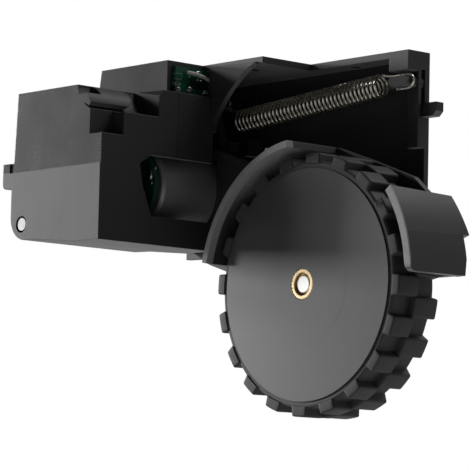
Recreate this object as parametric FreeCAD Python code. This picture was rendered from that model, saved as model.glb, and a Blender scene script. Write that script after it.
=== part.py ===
import FreeCAD, Part
import math
import os

from FreeCAD import Vector

os.makedirs("parts", exist_ok=True)

# Drive wheel module of a robot vacuum cleaner, in millimetres.
# The origin is the centre of the wheel's outer face. X runs fore and aft, Y inward along the axle, Z up.

# Wheel and tyre
wheel_radius = 36.0
lug_height = 2.3
tread_base_radius = wheel_radius - lug_height
tread_edge = 1.8
disc_radius = tread_base_radius - tread_edge
disc_edge_y = 1.2
tyre_outer_y = 1.5
tyre_inner_y = 16.2
lugs_per_row = 20
lug_first_angle = -3.0
lug_share = 0.52
lug_corner = 0.9
rim_wall = 2.0
rim_rib_count = 8
rim_rib_width = 1.6
hub_radius = 7.0
hub_end_y = 16.5

# Hub insert and axle
insert_radius = 4.27
insert_length = 9.0
insert_mouth_radius = 3.1
insert_mouth_depth = 1.2
knurl_count = 26
knurl_depth = 0.25
axle_radius = 2.5
axle_end_y = 0.4
axle_inner_y = 32.6
axle_clip_y = 31.5
running_fit = 0.05
body_gap = 0.3

# Suspension pivot
pivot_x = -92.4
pivot_z = 20.3
pin_radius = 1.85
pin_recess_radius = 2.4
pin_recess_depth = 1.0
pivot_boss_radius = 3.15
clip_width = 1.7
clip_thickness = 0.6
clip_groove_depth = 0.4
arm_boss_y = 17.8

# Motor box of the housing
flange_top_z = 68.8
box_left_x = -97.5
box_left_lean = 1.6
box_lean_z = 30.0
box_face_x = -57.0
box_outer_y = -25.3
box_inner_y = 16.8
box_bottom_z = 13.8
box_below_flange = 10.0
box_top_z = flange_top_z - box_below_flange
box_bottom_rise = 2.0
box_corner = 7.0
box_bottom_bend = 8.0
box_bottom_flat = 11.0
crease_z = 35.6
crease_depth = 0.35
wall = 1.6
chin_y = -4.0
roof_front_x = -68.3
roof_edge = 0.4
cove_bottom_z = 50.8
chin_bevel_size = 1.8
pocket_x = -62.4
pocket_y = -17.0
pocket_bottom_z = 44.1
hood_radius = 4.6
hood_bulge = (4.3, 2.4)
hood_slot_depth = 2.8
hood_slot_length = 3.4
hood_right_y = -9.2
hood_low_z = 52.3
window_bottom_z = 22.0
window_top_z = 39.5
window_left_y = -10.7
window_low_left_y = -6.1

# Spring bay of the housing
flange_thickness = 1.9
cutout_left_x = -36.3
cutout_inner_y = 35.8
flange_right_x = 3.6
back_y = 44.4
back_wall = 1.8
end_column_x = -0.6
end_column_y = 39.9
end_column_bottom_z = 41.5
ledge_height = 5.6
ledge_bottom_z = flange_top_z - ledge_height
ledge_left_x = -4.0
back_low_z = 24.0
back_bend_x = -30.0
back_foot_z = box_bottom_z + 1.0
gusset_thickness = 1.8
gusset_low_z = 50.2
gusset_foot = 1.6
gusset_bend = (-49.4, 60.3)
gusset_end_x = -38.6
column_groove_wall = 1.2
column_groove_foot = 9.0
column_groove_head = 3.0
screw_places = [(-48.0, 24.0), (-22.0, 40.1), (-84.0, 33.0)]

# Connector tower
tower_outer_y = 3.2
tower_left_x = -92.4
tower_right_x = -62.2
tower_inner_y = 22.0
tower_draft = 1.9
board_x = -62.6
board_thickness = 1.6
board_top_z = flange_top_z - 1.5
board_low_z = 51.0
board_outer_y = 5.2
board_inner_y = 20.4

# Board fittings: solder points as (Y, Z, radius), the plug socket and its contacts
solder_points = [(6.5, 60.3, 0.9), (10.8, 60.7, 1.1), (16.7, 60.5, 1.0), (14.1, 66.0, 0.8)]
solder_height = 0.7
solder_tip = 0.55
socket_depth = 6.5
socket_outer_y = 7.0
socket_inner_y = 18.0
socket_low_z = 59.6
socket_top_z = 66.0
socket_wall = 1.0
socket_floor = 1.5
contact_count = 4
contact_first_y = 9.5
contact_pitch = 2.0
contact_width = 0.6
contact_length = 4.0
contact_z = 62.8

# Fixing tabs
left_tab_length = 4.2
left_tab_low_z = 31.0
left_tab_top_z = 38.4
left_tab_depth = 6.0
right_tab_length = 5.6
right_tab_low_z = 50.2
right_tab_top_z = 54.1
right_tab_thickness = 3.0
tab_round = 1.5
tab_cut = 1.4
screw_hole_radius = 1.6

# Chassis seat, the origin of the stored part
seat_x = -48.0
seat_y = 32.0

# Return spring
spring_y = 37.6
spring_left_x = -68.5
spring_left_z = 55.3
spring_right_x = -8.0
spring_right_z = 59.9
spring_radius = 3.1
spring_wire_radius = 0.42
spring_turns = 37
coil_sides = 8
frame_hook_x = 1.9
frame_hook_z = flange_top_z - 8.6
frame_hook_radius = 1.45
frame_hook_length = 4.9
arm_hook_x = -75.3
arm_hook_z = 61.2
arm_hook_radius = 1.5
hook_outer_y = 36.0
hook_inner_y = 39.3
lever_thickness = 2.7
lever_root = (-3.0, 10.0)
lever_root_radius = 7.0

# Swing stop
stop_face_x = -67.9
stop_pad_thickness = 1.7
stop_low_z = 45.0
stop_height = 4.0
stop_pad_y = cutout_inner_y + 1.6
stop_pad_width = 4.0
stop_rib_thickness = 2.0
stop_rib_margin = 0.5
stop_lug_length = 4.4

# Leads from the board to the motor
lead_radius = 0.55

# Motor
motor_x = -72.0
motor_z = 32.0
motor_radius = 12.2
motor_front_y = 22.2
motor_back_y = 0.8
motor_cap_length = 1.9
motor_shaft_radius = 1.0
encoder_board_radius = 11.7
encoder_board_thickness = 1.2
motor_ring_radius = 13.7
can_edge = 0.8
encoder_disc_y = -4.1

# Gear case and mudguard
plate_outer_y = 17.0
plate_thickness = 1.9
case_face_y = 22.4
case_split_y = 26.0
case_inner_y = 34.9
case_wall = 1.6
screw_radius = 1.1
screw_head_radius = 2.1
screw_head_height = 1.4
screw_slot_length = 2.4
screw_slot_width = 0.5
screw_slot_depth = 0.7
screw_boss_radius = 2.8
screw_boss_length = 3.0
screw_grip = 3.0
axle_case_radius = 22.4
axle_boss_radius = 7.0
bush_radius = 4.5
bush_end_y = 19.3
bush_inner_end_y = 31.2
guard_clearance = 2.1
guard_inner_radius = wheel_radius + guard_clearance
guard_thickness = 1.9
guard_outer_y = -2.0
guard_start = 97.5
guard_end = 168.5
block_clearance = 3.1
block_thickness = 2.2
block_inner_radius = wheel_radius + block_clearance
block_outer_radius = block_inner_radius + block_thickness
block_outer_y = 0.0
block_inner_y = 20.0
block_lip_y = 22.4
block_start = 2.0
block_end = 36.5
block_far_end = 34.3
block_flare = 0.075
block_foot_z = 3.4
block_far_foot_z = 5.9
block_foot_inset = 0.85
lip_start = 17.0
lip_top_y = 20.4
block_round = 2.0
plate_top = [(7.0, 35.6), (25.0, 29.0)]
plate_bottom = [(20.0, -8.0), (-16.0, -15.0)]
plate_behind_tyre = 3.4
rib_start = (-60.6, 44.3)
rib_end = (-44.6, 38.9)
rib_outer_y = 20.8
rib_height = 1.1
web_low = [(-33.0, 24.0), (-40.0, 22.0), (-60.0, 30.0)]

# Gear train, from the motor to the axle
pinion_teeth, first_teeth, first_module = 12, 50, 0.5
first_small_teeth, second_teeth, second_module = 14, 46, 0.6
second_small_teeth, third_teeth, third_module = 18, 36, 0.7
third_small_teeth, output_teeth, output_module = 18, 49, 0.8
mesh_slack = 0.12
gear_pin_radius = 1.0
layer_first = (30.9, 33.0)
layer_second = (28.3, 30.5)
layer_third = (25.8, 27.9)
layer_output = (19.6, 24.6)


# Building blocks

def box(x0, x1, y0, y1, z0, z1):
    return Part.makeBox(x1 - x0, y1 - y0, z1 - z0, Vector(x0, y0, z0))


def rod(x, z, radius, y0, y1):
    return Part.makeCylinder(radius, y1 - y0, Vector(x, y0, z), Vector(0, 1, 0))


def tube(x, z, inner, outer, y0, y1):
    return rod(x, z, outer, y0, y1).cut(rod(x, z, inner, y0 - 1, y1 + 1))


def side_plate(points, y0, y1):
    # a closed outline in the side view (X, Z), thick along Y
    corners = [Vector(x, y0, z) for x, z in points]
    face = Part.Face(Part.makePolygon(corners + corners[:1]))
    return face.extrude(Vector(0, y1 - y0, 0))


def top_plate(points, z0, z1):
    # a closed outline in the plan view (X, Y), thick along Z
    corners = [Vector(x, y, z0) for x, y in points]
    face = Part.Face(Part.makePolygon(corners + corners[:1]))
    return face.extrude(Vector(0, 0, z1 - z0))


def front_plate(points, x0, x1):
    # a closed outline in the front view (Y, Z), thick along X
    corners = [Vector(x0, y, z) for y, z in points]
    face = Part.Face(Part.makePolygon(corners + corners[:1]))
    return face.extrude(Vector(x1 - x0, 0, 0))


def polar(radius, degrees, x=0.0, z=0.0):
    angle = math.radians(degrees)
    return x + radius * math.cos(angle), z + radius * math.sin(angle)


def sector(inner, outer, start, end, y0, y1):
    # a curved wall about the wheel's axis between two angles
    def at(radius, degrees):
        x, z = polar(radius, degrees)
        return Vector(x, y0, z)
    middle = (start + end) / 2
    edges = [
        Part.Arc(at(outer, start), at(outer, middle), at(outer, end)).toShape(),
        Part.makeLine(at(outer, end), at(inner, end)),
        Part.Arc(at(inner, end), at(inner, middle), at(inner, start)).toShape(),
        Part.makeLine(at(inner, start), at(outer, start)),
    ]
    return Part.Face(Part.Wire(edges)).extrude(Vector(0, y1 - y0, 0))


def link(a, radius_a, b, radius_b, y0, y1):
    # two round ends and the straight flanks that touch both
    dx, dz = b[0] - a[0], b[1] - a[1]
    distance = math.hypot(dx, dz)
    heading = math.atan2(dz, dx)
    spread = math.acos((radius_a - radius_b) / distance)
    def touch(centre, radius, side):
        angle = heading + side * spread
        return centre[0] + radius * math.cos(angle), centre[1] + radius * math.sin(angle)
    flanks = [touch(a, radius_a, 1), touch(b, radius_b, 1), touch(b, radius_b, -1), touch(a, radius_a, -1)]
    shape = side_plate(flanks, y0, y1)
    return shape.fuse([rod(a[0], a[1], radius_a, y0, y1), rod(b[0], b[1], radius_b, y0, y1)])


def join(shapes):
    return shapes[0].fuse(shapes[1:]).removeSplitter()


def round_edges(shape, radius, chosen):
    edges = [edge for edge in shape.Edges if chosen(edge)]
    return shape.makeFillet(radius, edges) if edges else shape


def circle_meeting(a, radius_a, b, radius_b):
    # the upper point that lies at given distances from two centres
    dx, dz = b[0] - a[0], b[1] - a[1]
    distance = math.hypot(dx, dz)
    along = (distance ** 2 + radius_a ** 2 - radius_b ** 2) / (2 * distance)
    aside = math.sqrt(max(radius_a ** 2 - along ** 2, 0.0))
    x = a[0] + (along * dx - aside * dz) / distance
    z = a[1] + (along * dz + aside * dx) / distance
    return x, z


# Gear train layout: each centre distance is the two pitch radii and a little slack
def centre_distance(driver, driven, module):
    return (driver + driven) * module / 2 + mesh_slack


first_distance = centre_distance(pinion_teeth, first_teeth, first_module)
second_distance = centre_distance(first_small_teeth, second_teeth, second_module)
third_distance = centre_distance(second_small_teeth, third_teeth, third_module)
output_distance = centre_distance(third_small_teeth, output_teeth, output_module)
motor_centre = (motor_x, motor_z)
pivot_centre = (pivot_x, pivot_z)
axle_centre = (0.0, 0.0)
train_heading = math.degrees(math.atan2(-motor_z, -motor_x))
first_centre = polar(first_distance, train_heading - 4.0, motor_x, motor_z)
third_centre = polar(output_distance, train_heading + 180.0 + 4.0)
second_centre = circle_meeting(first_centre, second_distance, third_centre, third_distance)


def bearing(a, b):
    return math.degrees(math.atan2(b[1] - a[1], b[0] - a[0]))


def gear(teeth, module, centre, y0, y1, tooth_at):
    # straight-sided teeth, one of them centred on the angle tooth_at
    pitch = teeth * module / 2
    outer, root = pitch + 0.88 * module, pitch - 1.15 * module
    step = 360.0 / teeth
    outline = []
    for index in range(teeth):
        middle = tooth_at + index * step
        for radius, offset in ((root, -0.33), (outer, -0.1), (outer, 0.1), (root, 0.33)):
            outline.append(polar(radius, middle + offset * step, *centre))
    return side_plate(outline, y0, y1)


def compound_gear(centre, gears, bore):
    # gears moulded together on one bore
    blank = join(gears) if len(gears) > 1 else gears[0]
    return blank.cut(rod(centre[0], centre[1], bore, 0, case_inner_y))


def tube_along(points, radius, sides):
    # a round wire bent along a row of points, with flat sides
    rings = []
    across = None
    for index, point in enumerate(points):
        before = points[max(index - 1, 0)]
        after = points[min(index + 1, len(points) - 1)]
        heading = (after - before).normalize()
        if across is None:
            across = heading.cross(Vector(0.3, 0.2, 1)).normalize()
        across = (across - heading * across.dot(heading)).normalize()
        beside = heading.cross(across)
        ring = []
        for side in range(sides):
            turn = 2 * math.pi * side / sides
            ring.append(point + across * (radius * math.cos(turn)) + beside * (radius * math.sin(turn)))
        rings.append(ring)
    corners = [corner for ring in rings for corner in ring]
    facets = []
    for index in range(len(rings) - 1):
        for side in range(sides):
            a = index * sides + side
            b = index * sides + (side + 1) % sides
            facets += [(a, b, b + sides), (a, b + sides, a + sides)]
    last = (len(rings) - 1) * sides
    for side in range(1, sides - 1):
        facets += [(0, side + 1, side), (last, last + side, last + side + 1)]
    shell = Part.Shape()
    shell.makeShapeFromMesh((corners, facets), 0.001)
    solid = Part.makeSolid(shell)
    if solid.Volume < 0:
        solid.reverse()
    return solid


def smooth_route(points, steps):
    # rounds a route of chosen points into a soft bend
    route = []
    for index in range(len(points) - 1):
        p0 = points[max(index - 1, 0)]
        p1, p2 = points[index], points[index + 1]
        p3 = points[min(index + 2, len(points) - 1)]
        for step in range(steps):
            t = step / steps
            route.append((p1 * 2 + (p2 - p0) * t + (p0 * 2 - p1 * 5 + p2 * 4 - p3) * t ** 2
                          + (p1 * 3 - p0 - p2 * 3 + p3) * t ** 3) * 0.5)
    return route + [points[-1]]


# Wheel

def lug(row_start, row_end, degrees):
    # one tread block with cut corners, standing on the tread's base
    half = math.pi * wheel_radius / lugs_per_row * lug_share
    low, high = row_start + lug_corner, row_end - lug_corner
    outline = [(row_start, -half + lug_corner), (low, -half), (high, -half), (row_end, -half + lug_corner),
               (row_end, half - lug_corner), (high, half), (low, half), (row_start, half - lug_corner)]
    block = front_plate(outline, tread_base_radius - 0.6, wheel_radius)
    block.rotate(Vector(0, 0, 0), Vector(0, 1, 0), -degrees)
    return block


def tyre():
    middle_y = (tyre_outer_y + tyre_inner_y) / 2 - 0.6
    overlap = 0.4
    pieces = [tube(0, 0, disc_radius - rim_wall, tread_base_radius, tyre_outer_y, tyre_inner_y)]
    step = 360.0 / lugs_per_row
    for index in range(lugs_per_row):
        degrees = lug_first_angle + index * step
        pieces.append(lug(tyre_outer_y - 0.3, middle_y + overlap, degrees))
        pieces.append(lug(middle_y - overlap, tyre_inner_y + 0.3, degrees + step / 2))
    return join(pieces)


def wheel_rim():
    seat = disc_radius - rim_wall
    dome_centre = (disc_radius ** 2 + disc_edge_y ** 2) / (2 * disc_edge_y)
    ball = Part.makeSphere(dome_centre, Vector(0, dome_centre, 0))
    dome = rod(0, 0, disc_radius, -0.1, tyre_outer_y).common(ball)
    web = rod(0, 0, seat, tyre_outer_y, tyre_outer_y + 1.2)
    barrel = tube(0, 0, seat - rim_wall, seat, tyre_outer_y, tyre_inner_y - 1.0)
    hub = rod(0, 0, hub_radius, tyre_outer_y, hub_end_y)
    ribs = []
    for index in range(rim_rib_count):
        rib = box(0, seat - 1.0, tyre_outer_y, tyre_inner_y - 4.0, -rim_rib_width / 2, rim_rib_width / 2)
        rib.rotate(Vector(0, 0, 0), Vector(0, 1, 0), 360.0 / rim_rib_count * (index + 0.5))
        ribs.append(rib)
    body = join([dome, web, barrel, hub] + ribs)
    return body.cut([rod(0, 0, insert_radius, -1, insert_length), rod(0, 0, axle_radius, -1, case_inner_y)])


def hub_insert():
    # brass bush with a knurled rim, moulded into the wheel's hub
    body = tube(0, 0, axle_radius, insert_radius, 0, insert_length)
    body = body.cut(rod(0, 0, insert_mouth_radius, -1, insert_mouth_depth))
    groove = box(insert_radius - knurl_depth, insert_radius + 1, -1, insert_mouth_depth, -0.16, 0.16)
    grooves = []
    for index in range(knurl_count):
        cutter = groove.copy()
        cutter.rotate(Vector(0, 0, 0), Vector(0, 1, 0), 360.0 / knurl_count * index)
        grooves.append(cutter)
    return body.cut(grooves)


def circles(shape):
    return [edge for edge in shape.Edges if edge.Curve.TypeId == "Part::GeomCircle"]


def clip_groove(x, z, radius, y):
    return tube(x, z, radius - clip_groove_depth, radius + 1, y, y + clip_thickness)


def spring_clip(x, z, radius, y):
    # an open retaining ring that snaps into a groove
    ring = tube(x, z, radius - clip_groove_depth, radius + clip_width, y, y + clip_thickness)
    mouth = box(x - radius * 0.6, x + radius * 0.6, y - 1, y + 2, z - radius - clip_width - 1, z)
    return ring.cut(mouth)


def axle_shaft():
    shaft = rod(0, 0, axle_radius, axle_end_y, axle_inner_y)
    shaft = shaft.makeChamfer(0.3, circles(shaft))
    return shaft.cut(clip_groove(0, 0, axle_radius, axle_clip_y))


# Housing

def motor_box():
    outline = [
        (box_left_x, box_bottom_z + box_bottom_rise),
        (pivot_x + box_bottom_bend, box_bottom_z + box_bottom_rise * 0.8),
        (box_face_x - box_bottom_flat, box_bottom_z),
        (box_face_x, box_bottom_z),
        (box_face_x, box_top_z),
        (box_left_x + box_left_lean, box_top_z),
        (box_left_x, box_lean_z),
    ]
    shell = side_plate(outline, box_outer_y, box_inner_y)
    shell = round_edges(shell, box_corner, lambda edge: abs(edge.tangentAt(edge.FirstParameter).y) > 0.9
                        and edge.CenterOfMass.x < box_left_x + 0.5
                        and edge.CenterOfMass.z < box_bottom_z + box_bottom_rise + 1)
    room_left = box_left_x + box_left_lean + wall
    inner = [
        (room_left, box_bottom_z + box_bottom_rise + wall),
        (pivot_x + box_bottom_bend, box_bottom_z + box_bottom_rise * 0.8 + wall),
        (box_face_x - box_bottom_flat, box_bottom_z + wall),
        (box_face_x - wall, box_bottom_z + wall),
        (box_face_x - wall, pocket_bottom_z - wall),
        (pocket_x - wall, pocket_bottom_z - wall),
        (roof_front_x - wall, hood_low_z + wall),
        (roof_front_x - wall, box_top_z - wall),
        (room_left, box_top_z - wall),
    ]
    chamber = side_plate(inner, box_outer_y + wall, box_inner_y + 1)
    behind_chin = box(room_left, box_face_x - wall, chin_y + wall, box_inner_y + 1, crease_z, box_top_z - wall)
    return shell.cut([chamber, behind_chin])


def roof_recess():
    # the cove under the front of the roof and the corner pocket below it
    start = Vector(roof_front_x, box_outer_y - 1, box_top_z + 1)
    top = Vector(roof_front_x, box_outer_y - 1, box_top_z - roof_edge)
    drop = top.z - cove_bottom_z
    reach = box_face_x - roof_front_x
    bend = Vector(box_face_x - reach * math.cos(math.pi / 4), top.y, top.z - drop * math.sin(math.pi / 4))
    low = Vector(box_face_x, top.y, cove_bottom_z)
    out = Vector(box_face_x + 1, top.y, cove_bottom_z)
    above = Vector(box_face_x + 1, top.y, box_top_z + 1)
    edges = [Part.makeLine(start, top), Part.Arc(top, bend, low).toShape(), Part.makeLine(low, out),
             Part.makeLine(out, above), Part.makeLine(above, start)]
    cove = Part.Face(Part.Wire(edges)).extrude(Vector(0, chin_y - top.y, 0))
    pocket = box(pocket_x, box_face_x + 1, box_outer_y - 1, pocket_y, pocket_bottom_z, cove_bottom_z + 3)
    return [cove, pocket]


def chin_bevel():
    # the slanted cut along the top of the step beside the hood
    a = Vector(roof_front_x + 1.0, chin_y, box_top_z)
    b = Vector(box_face_x, chin_y, box_top_z - chin_bevel_size)
    c = Vector(box_face_x, chin_y + chin_bevel_size, box_top_z)
    d = Vector(box_face_x, chin_y, box_top_z)
    faces = [Part.Face(Part.makePolygon(loop + loop[:1])) for loop in ([a, b, c], [a, d, b], [a, c, d], [b, d, c])]
    return Part.makeSolid(Part.makeShell(faces))


def roof_hood():
    # the rounded lip that hangs under the roof's front edge
    y = box_outer_y
    top = Vector(roof_front_x, y, box_top_z)
    bulge = Vector(roof_front_x + hood_bulge[0], y, box_top_z - hood_bulge[1])
    nose = Vector(pocket_x + 0.2, y, hood_low_z + 1.0)
    lip = Vector(pocket_x - 0.6, y, hood_low_z)
    back = Vector(roof_front_x - wall, y, hood_low_z + 3.4)
    high = Vector(roof_front_x - wall, y, box_top_z)
    edges = [Part.Arc(top, bulge, nose).toShape(), Part.makeLine(nose, lip), Part.makeLine(lip, back),
             Part.makeLine(back, high), Part.makeLine(high, top)]
    hood = Part.Face(Part.Wire(edges)).extrude(Vector(0, hood_right_y - y, 0))
    corner = box(box_left_x, box_face_x, hood_right_y - hood_radius, hood_right_y + 1,
                 hood_low_z - 1, hood_low_z + hood_radius)
    drum = Part.makeCylinder(hood_radius, box_face_x - box_left_x,
                             Vector(box_left_x, hood_right_y - hood_radius, hood_low_z + hood_radius), Vector(1, 0, 0))
    slot = box(roof_front_x + 0.1, box_face_x, box_outer_y - 1, box_outer_y + wall + hood_slot_length,
               box_top_z - hood_slot_depth, box_top_z + 1)
    return hood.cut([corner.cut(drum), slot])


def motor_window():
    outline = [
        (window_low_left_y, window_bottom_z),
        (window_left_y + 1.2, window_bottom_z + 8.6),
        (window_left_y, window_top_z - 2.8),
        (window_left_y + 4.2, window_top_z),
        (box_inner_y + 1, window_top_z),
        (box_inner_y + 1, window_bottom_z),
    ]
    return front_plate(outline, box_face_x - wall - 0.5, box_face_x + 1)


def spring_bay():
    under = flange_top_z - flange_thickness
    left_x = box_left_x + box_left_lean
    outline = [
        (left_x, tower_inner_y), (tower_left_x, tower_inner_y), (tower_left_x, box_inner_y),
        (cutout_left_x, box_inner_y), (cutout_left_x, cutout_inner_y),
        (flange_right_x, cutout_inner_y), (flange_right_x, back_y), (left_x, back_y),
    ]
    flange = top_plate(outline, under, flange_top_z)
    back = side_plate([
        (box_left_x, box_bottom_z + box_bottom_rise), (box_face_x, back_foot_z),
        (back_bend_x, back_foot_z), (flange_right_x, back_low_z),
        (flange_right_x, flange_top_z), (left_x, flange_top_z), (left_x, box_top_z),
        (box_left_x, box_lean_z)], back_y - back_wall, back_y)
    left = side_plate([
        (box_left_x, box_bottom_z + box_corner), (box_left_x + wall, box_bottom_z + box_corner),
        (box_left_x + wall, box_lean_z), (left_x + wall, box_top_z), (left_x + wall, flange_top_z),
        (left_x, flange_top_z), (left_x, box_top_z), (box_left_x, box_lean_z)], box_inner_y - 1, back_y)
    column = box(end_column_x, flange_right_x, end_column_y, back_y, end_column_bottom_z, flange_top_z)
    groove = box(end_column_x + column_groove_wall, flange_right_x + 1, end_column_y + column_groove_wall,
                 back_y - back_wall, end_column_bottom_z + column_groove_foot, under - column_groove_head)
    low = Vector(box_face_x, 0, gusset_low_z)
    high = Vector(gusset_end_x, 0, under + 0.5)
    bend = Part.Arc(low, Vector(gusset_bend[0], 0, gusset_bend[1]), high).toShape()
    straight = Part.makePolygon([high, Vector(box_face_x - wall, 0, high.z),
                                 Vector(box_face_x - wall, 0, low.z - gusset_foot),
                                 Vector(box_face_x, 0, low.z - gusset_foot), low])
    gusset = Part.Face(Part.Wire([edge for part in (bend, straight) for edge in part.Edges]))
    gusset = gusset.extrude(Vector(0, gusset_thickness, 0))
    gusset.translate(Vector(0, box_inner_y - 0.6, 0))
    ledge = box(ledge_left_x, flange_right_x, cutout_inner_y, end_column_y + 1, ledge_bottom_z, under + 0.5)
    return [flange, back, left, column.cut(groove), gusset, ledge]


def frame_hook():
    # a flat peg on the back wall, long fore and aft, that carries the spring's end
    length = back_y - 1 - hook_outer_y
    left = rod(frame_hook_x - frame_hook_length, frame_hook_z, frame_hook_radius, hook_outer_y, hook_outer_y + length)
    right = rod(frame_hook_x, frame_hook_z, frame_hook_radius, hook_outer_y, hook_outer_y + length)
    middle = box(frame_hook_x - frame_hook_length, frame_hook_x, hook_outer_y, hook_outer_y + length,
                 frame_hook_z - frame_hook_radius, frame_hook_z + frame_hook_radius)
    return join([left, middle, right])


def tower():
    left_low = tower_left_x - tower_draft
    outline = [
        (left_low, box_top_z - wall), (tower_right_x, box_top_z - wall),
        (tower_right_x, flange_top_z), (tower_left_x, flange_top_z),
    ]
    inside = [
        (left_low + wall + 0.4, box_top_z - wall - 3), (tower_right_x + 1, box_top_z - wall - 3),
        (tower_right_x + 1, flange_top_z - wall), (tower_left_x + wall, flange_top_z - wall),
    ]
    shell = side_plate(outline, tower_outer_y, tower_inner_y)
    return shell, side_plate(inside, tower_outer_y + wall, tower_inner_y - wall)


def tabs():
    left = box(box_left_x - left_tab_length, box_left_x + 1, box_outer_y, box_outer_y + left_tab_depth,
               left_tab_low_z, left_tab_top_z)
    left = round_edges(left, tab_round, lambda edge: abs(edge.tangentAt(edge.FirstParameter).y) > 0.9
                       and edge.CenterOfMass.x < box_left_x - 1 and edge.CenterOfMass.z < left_tab_low_z + 1)
    right = side_plate([
        (flange_right_x - 1, right_tab_low_z), (flange_right_x + right_tab_length - tab_cut, right_tab_low_z),
        (flange_right_x + right_tab_length, right_tab_low_z + tab_cut),
        (flange_right_x + right_tab_length, right_tab_top_z), (flange_right_x - 1, right_tab_top_z)],
        back_y - right_tab_thickness, back_y)
    return [left, right]


def stop_rib():
    # the rib on the back wall that carries the rubber stop
    x = stop_face_x + stop_pad_thickness
    return box(x, x + stop_rib_thickness, stop_pad_y - 0.4, back_y - 1,
               stop_low_z - stop_rib_margin, stop_low_z + stop_height + stop_rib_margin)


def pivot_bosses():
    # tubes on both walls that hold the pin and keep the arm in its place along it
    outer = rod(pivot_x, pivot_z, pivot_boss_radius, box_outer_y + wall - 0.5, arm_boss_y - body_gap)
    inner = rod(pivot_x, pivot_z, pivot_boss_radius, case_inner_y + body_gap, back_y - 0.5)
    return [outer, inner]


def frame_housing():
    tower_shell, tower_room = tower()
    body = motor_box().cut(roof_recess())
    body = body.cut(tower_room)
    body = join([body, tower_shell.cut(tower_room), roof_hood()] + spring_bay() + tabs())
    body = body.cut([tower_room, chin_bevel(), motor_window()])
    body = join([body, frame_hook(), stop_rib()] + pivot_bosses())
    # the lower part of the outer face stands a little proud of the upper part
    step = box(box_left_x - 1, box_face_x + 1, box_outer_y - 1, box_outer_y + crease_depth, crease_z, flange_top_z)
    board_slot = box(board_x, board_x + board_thickness, board_outer_y, board_inner_y, board_low_z, board_top_z)
    cuts = [step, board_slot, rod(pivot_x, pivot_z, pin_radius, box_outer_y - 1, back_y + 1),
            rod(pivot_x, pivot_z, pin_recess_radius, box_outer_y - 1, box_outer_y + pin_recess_depth)]
    for x, y in screw_places:
        cuts.append(Part.makeCylinder(screw_hole_radius, 10, Vector(x, y, flange_top_z - 8)))
    return body.cut(cuts)


def connector_board():
    return box(board_x, board_x + board_thickness, board_outer_y, board_inner_y, board_low_z, board_top_z)


def solder_joints():
    # solder points on the board's front
    face = board_x + board_thickness
    return Part.makeCompound([Part.makeCone(radius, radius * solder_tip, solder_height, Vector(face, y, z), Vector(1, 0, 0))
                              for y, z, radius in solder_points])


def contact_block():
    # the plug socket on the board's inner side, open to the rear
    body = box(board_x - socket_depth, board_x, socket_outer_y, socket_inner_y, socket_low_z, socket_top_z)
    return body.cut(box(board_x - socket_depth - 1, board_x - socket_floor, socket_outer_y + socket_wall,
                        socket_inner_y - socket_wall, socket_low_z + socket_wall, socket_top_z - socket_wall))


def contact_pins():
    half = contact_width / 2
    pins = []
    for index in range(contact_count):
        y = contact_first_y + index * contact_pitch
        pins.append(box(board_x - socket_floor - contact_length, board_x - socket_floor, y - half, y + half,
                        contact_z - half, contact_z + half))
    return Part.makeCompound(pins)


def stop_pad():
    return box(stop_face_x, stop_face_x + stop_pad_thickness, stop_pad_y, stop_pad_y + stop_pad_width,
               stop_low_z, stop_low_z + stop_height)


def pivot_pin():
    pin = rod(pivot_x, pivot_z, pin_radius, box_outer_y + 0.2, back_y + clip_thickness + 1.0)
    return pin.cut(clip_groove(pivot_x, pivot_z, pin_radius, back_y))


# Gear case

def room_radius(teeth, module):
    return teeth * module / 2 + module * 0.88 + 0.45


def case_links(extra, y0, y1, stations):
    # the case's outline is a chain of tapered links round the pivot, the motor, the gears and the axle
    places = {
        "pivot": (pivot_centre, pivot_boss_radius),
        "motor": (motor_centre, motor_radius + 0.7 + extra),
        "first": (first_centre, room_radius(first_teeth, first_module) + extra),
        "second": (second_centre, room_radius(second_teeth, second_module) + extra),
        "third": (third_centre, room_radius(third_teeth, third_module) + extra),
        "axle": (axle_centre, axle_case_radius - case_wall + extra),
    }
    shapes = []
    for a, b in zip(stations[:-1], stations[1:]):
        shapes.append(link(places[a][0], places[a][1], places[b][0], places[b][1], y0, y1))
    return join(shapes) if len(shapes) > 1 else shapes[0]


def guard_plate():
    # the flat web behind the wheel that carries the mudguard
    y0, y1 = plate_outer_y, plate_outer_y + plate_thickness
    outer = guard_inner_radius + guard_thickness
    def at(point):
        return Vector(point[0], y0, point[1])
    start, middle, end = (at(polar(outer, angle)) for angle in (guard_end, (guard_start + guard_end) / 2, guard_start))
    far_start, far_middle, far_end = (at(polar(block_inner_radius + 0.5, angle))
                                      for angle in (block_far_end, (block_start + block_far_end) / 2, block_start))
    behind_tyre = at((tread_base_radius - plate_behind_tyre, far_end.z))
    edges = [Part.Arc(start, middle, end).toShape(),
             Part.makePolygon([end] + [at(point) for point in plate_top] + [far_start]),
             Part.Arc(far_start, far_middle, far_end).toShape(),
             Part.makePolygon([far_end, behind_tyre] + [at(point) for point in plate_bottom] + [start])]
    return Part.Face(Part.Wire([edge for part in edges for edge in part.Edges])).extrude(Vector(0, y1 - y0, 0))


def block_panel(start, end, far_y):
    # a stretch of the block: a conical outer face over a round inner one
    def at(radius, y):
        return Vector(radius, y, 0)
    far_radius = block_outer_radius + block_flare * (far_y - block_outer_y)
    corners = [at(block_inner_radius, block_outer_y), at(block_outer_radius, block_outer_y),
               at(far_radius, far_y), at(block_inner_radius, far_y)]
    panel = Part.Face(Part.makePolygon(corners + corners[:1]))
    panel.rotate(Vector(0, 0, 0), Vector(0, -1, 0), start)
    return panel.revolve(Vector(0, 0, 0), Vector(0, -1, 0), end - start)


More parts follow.
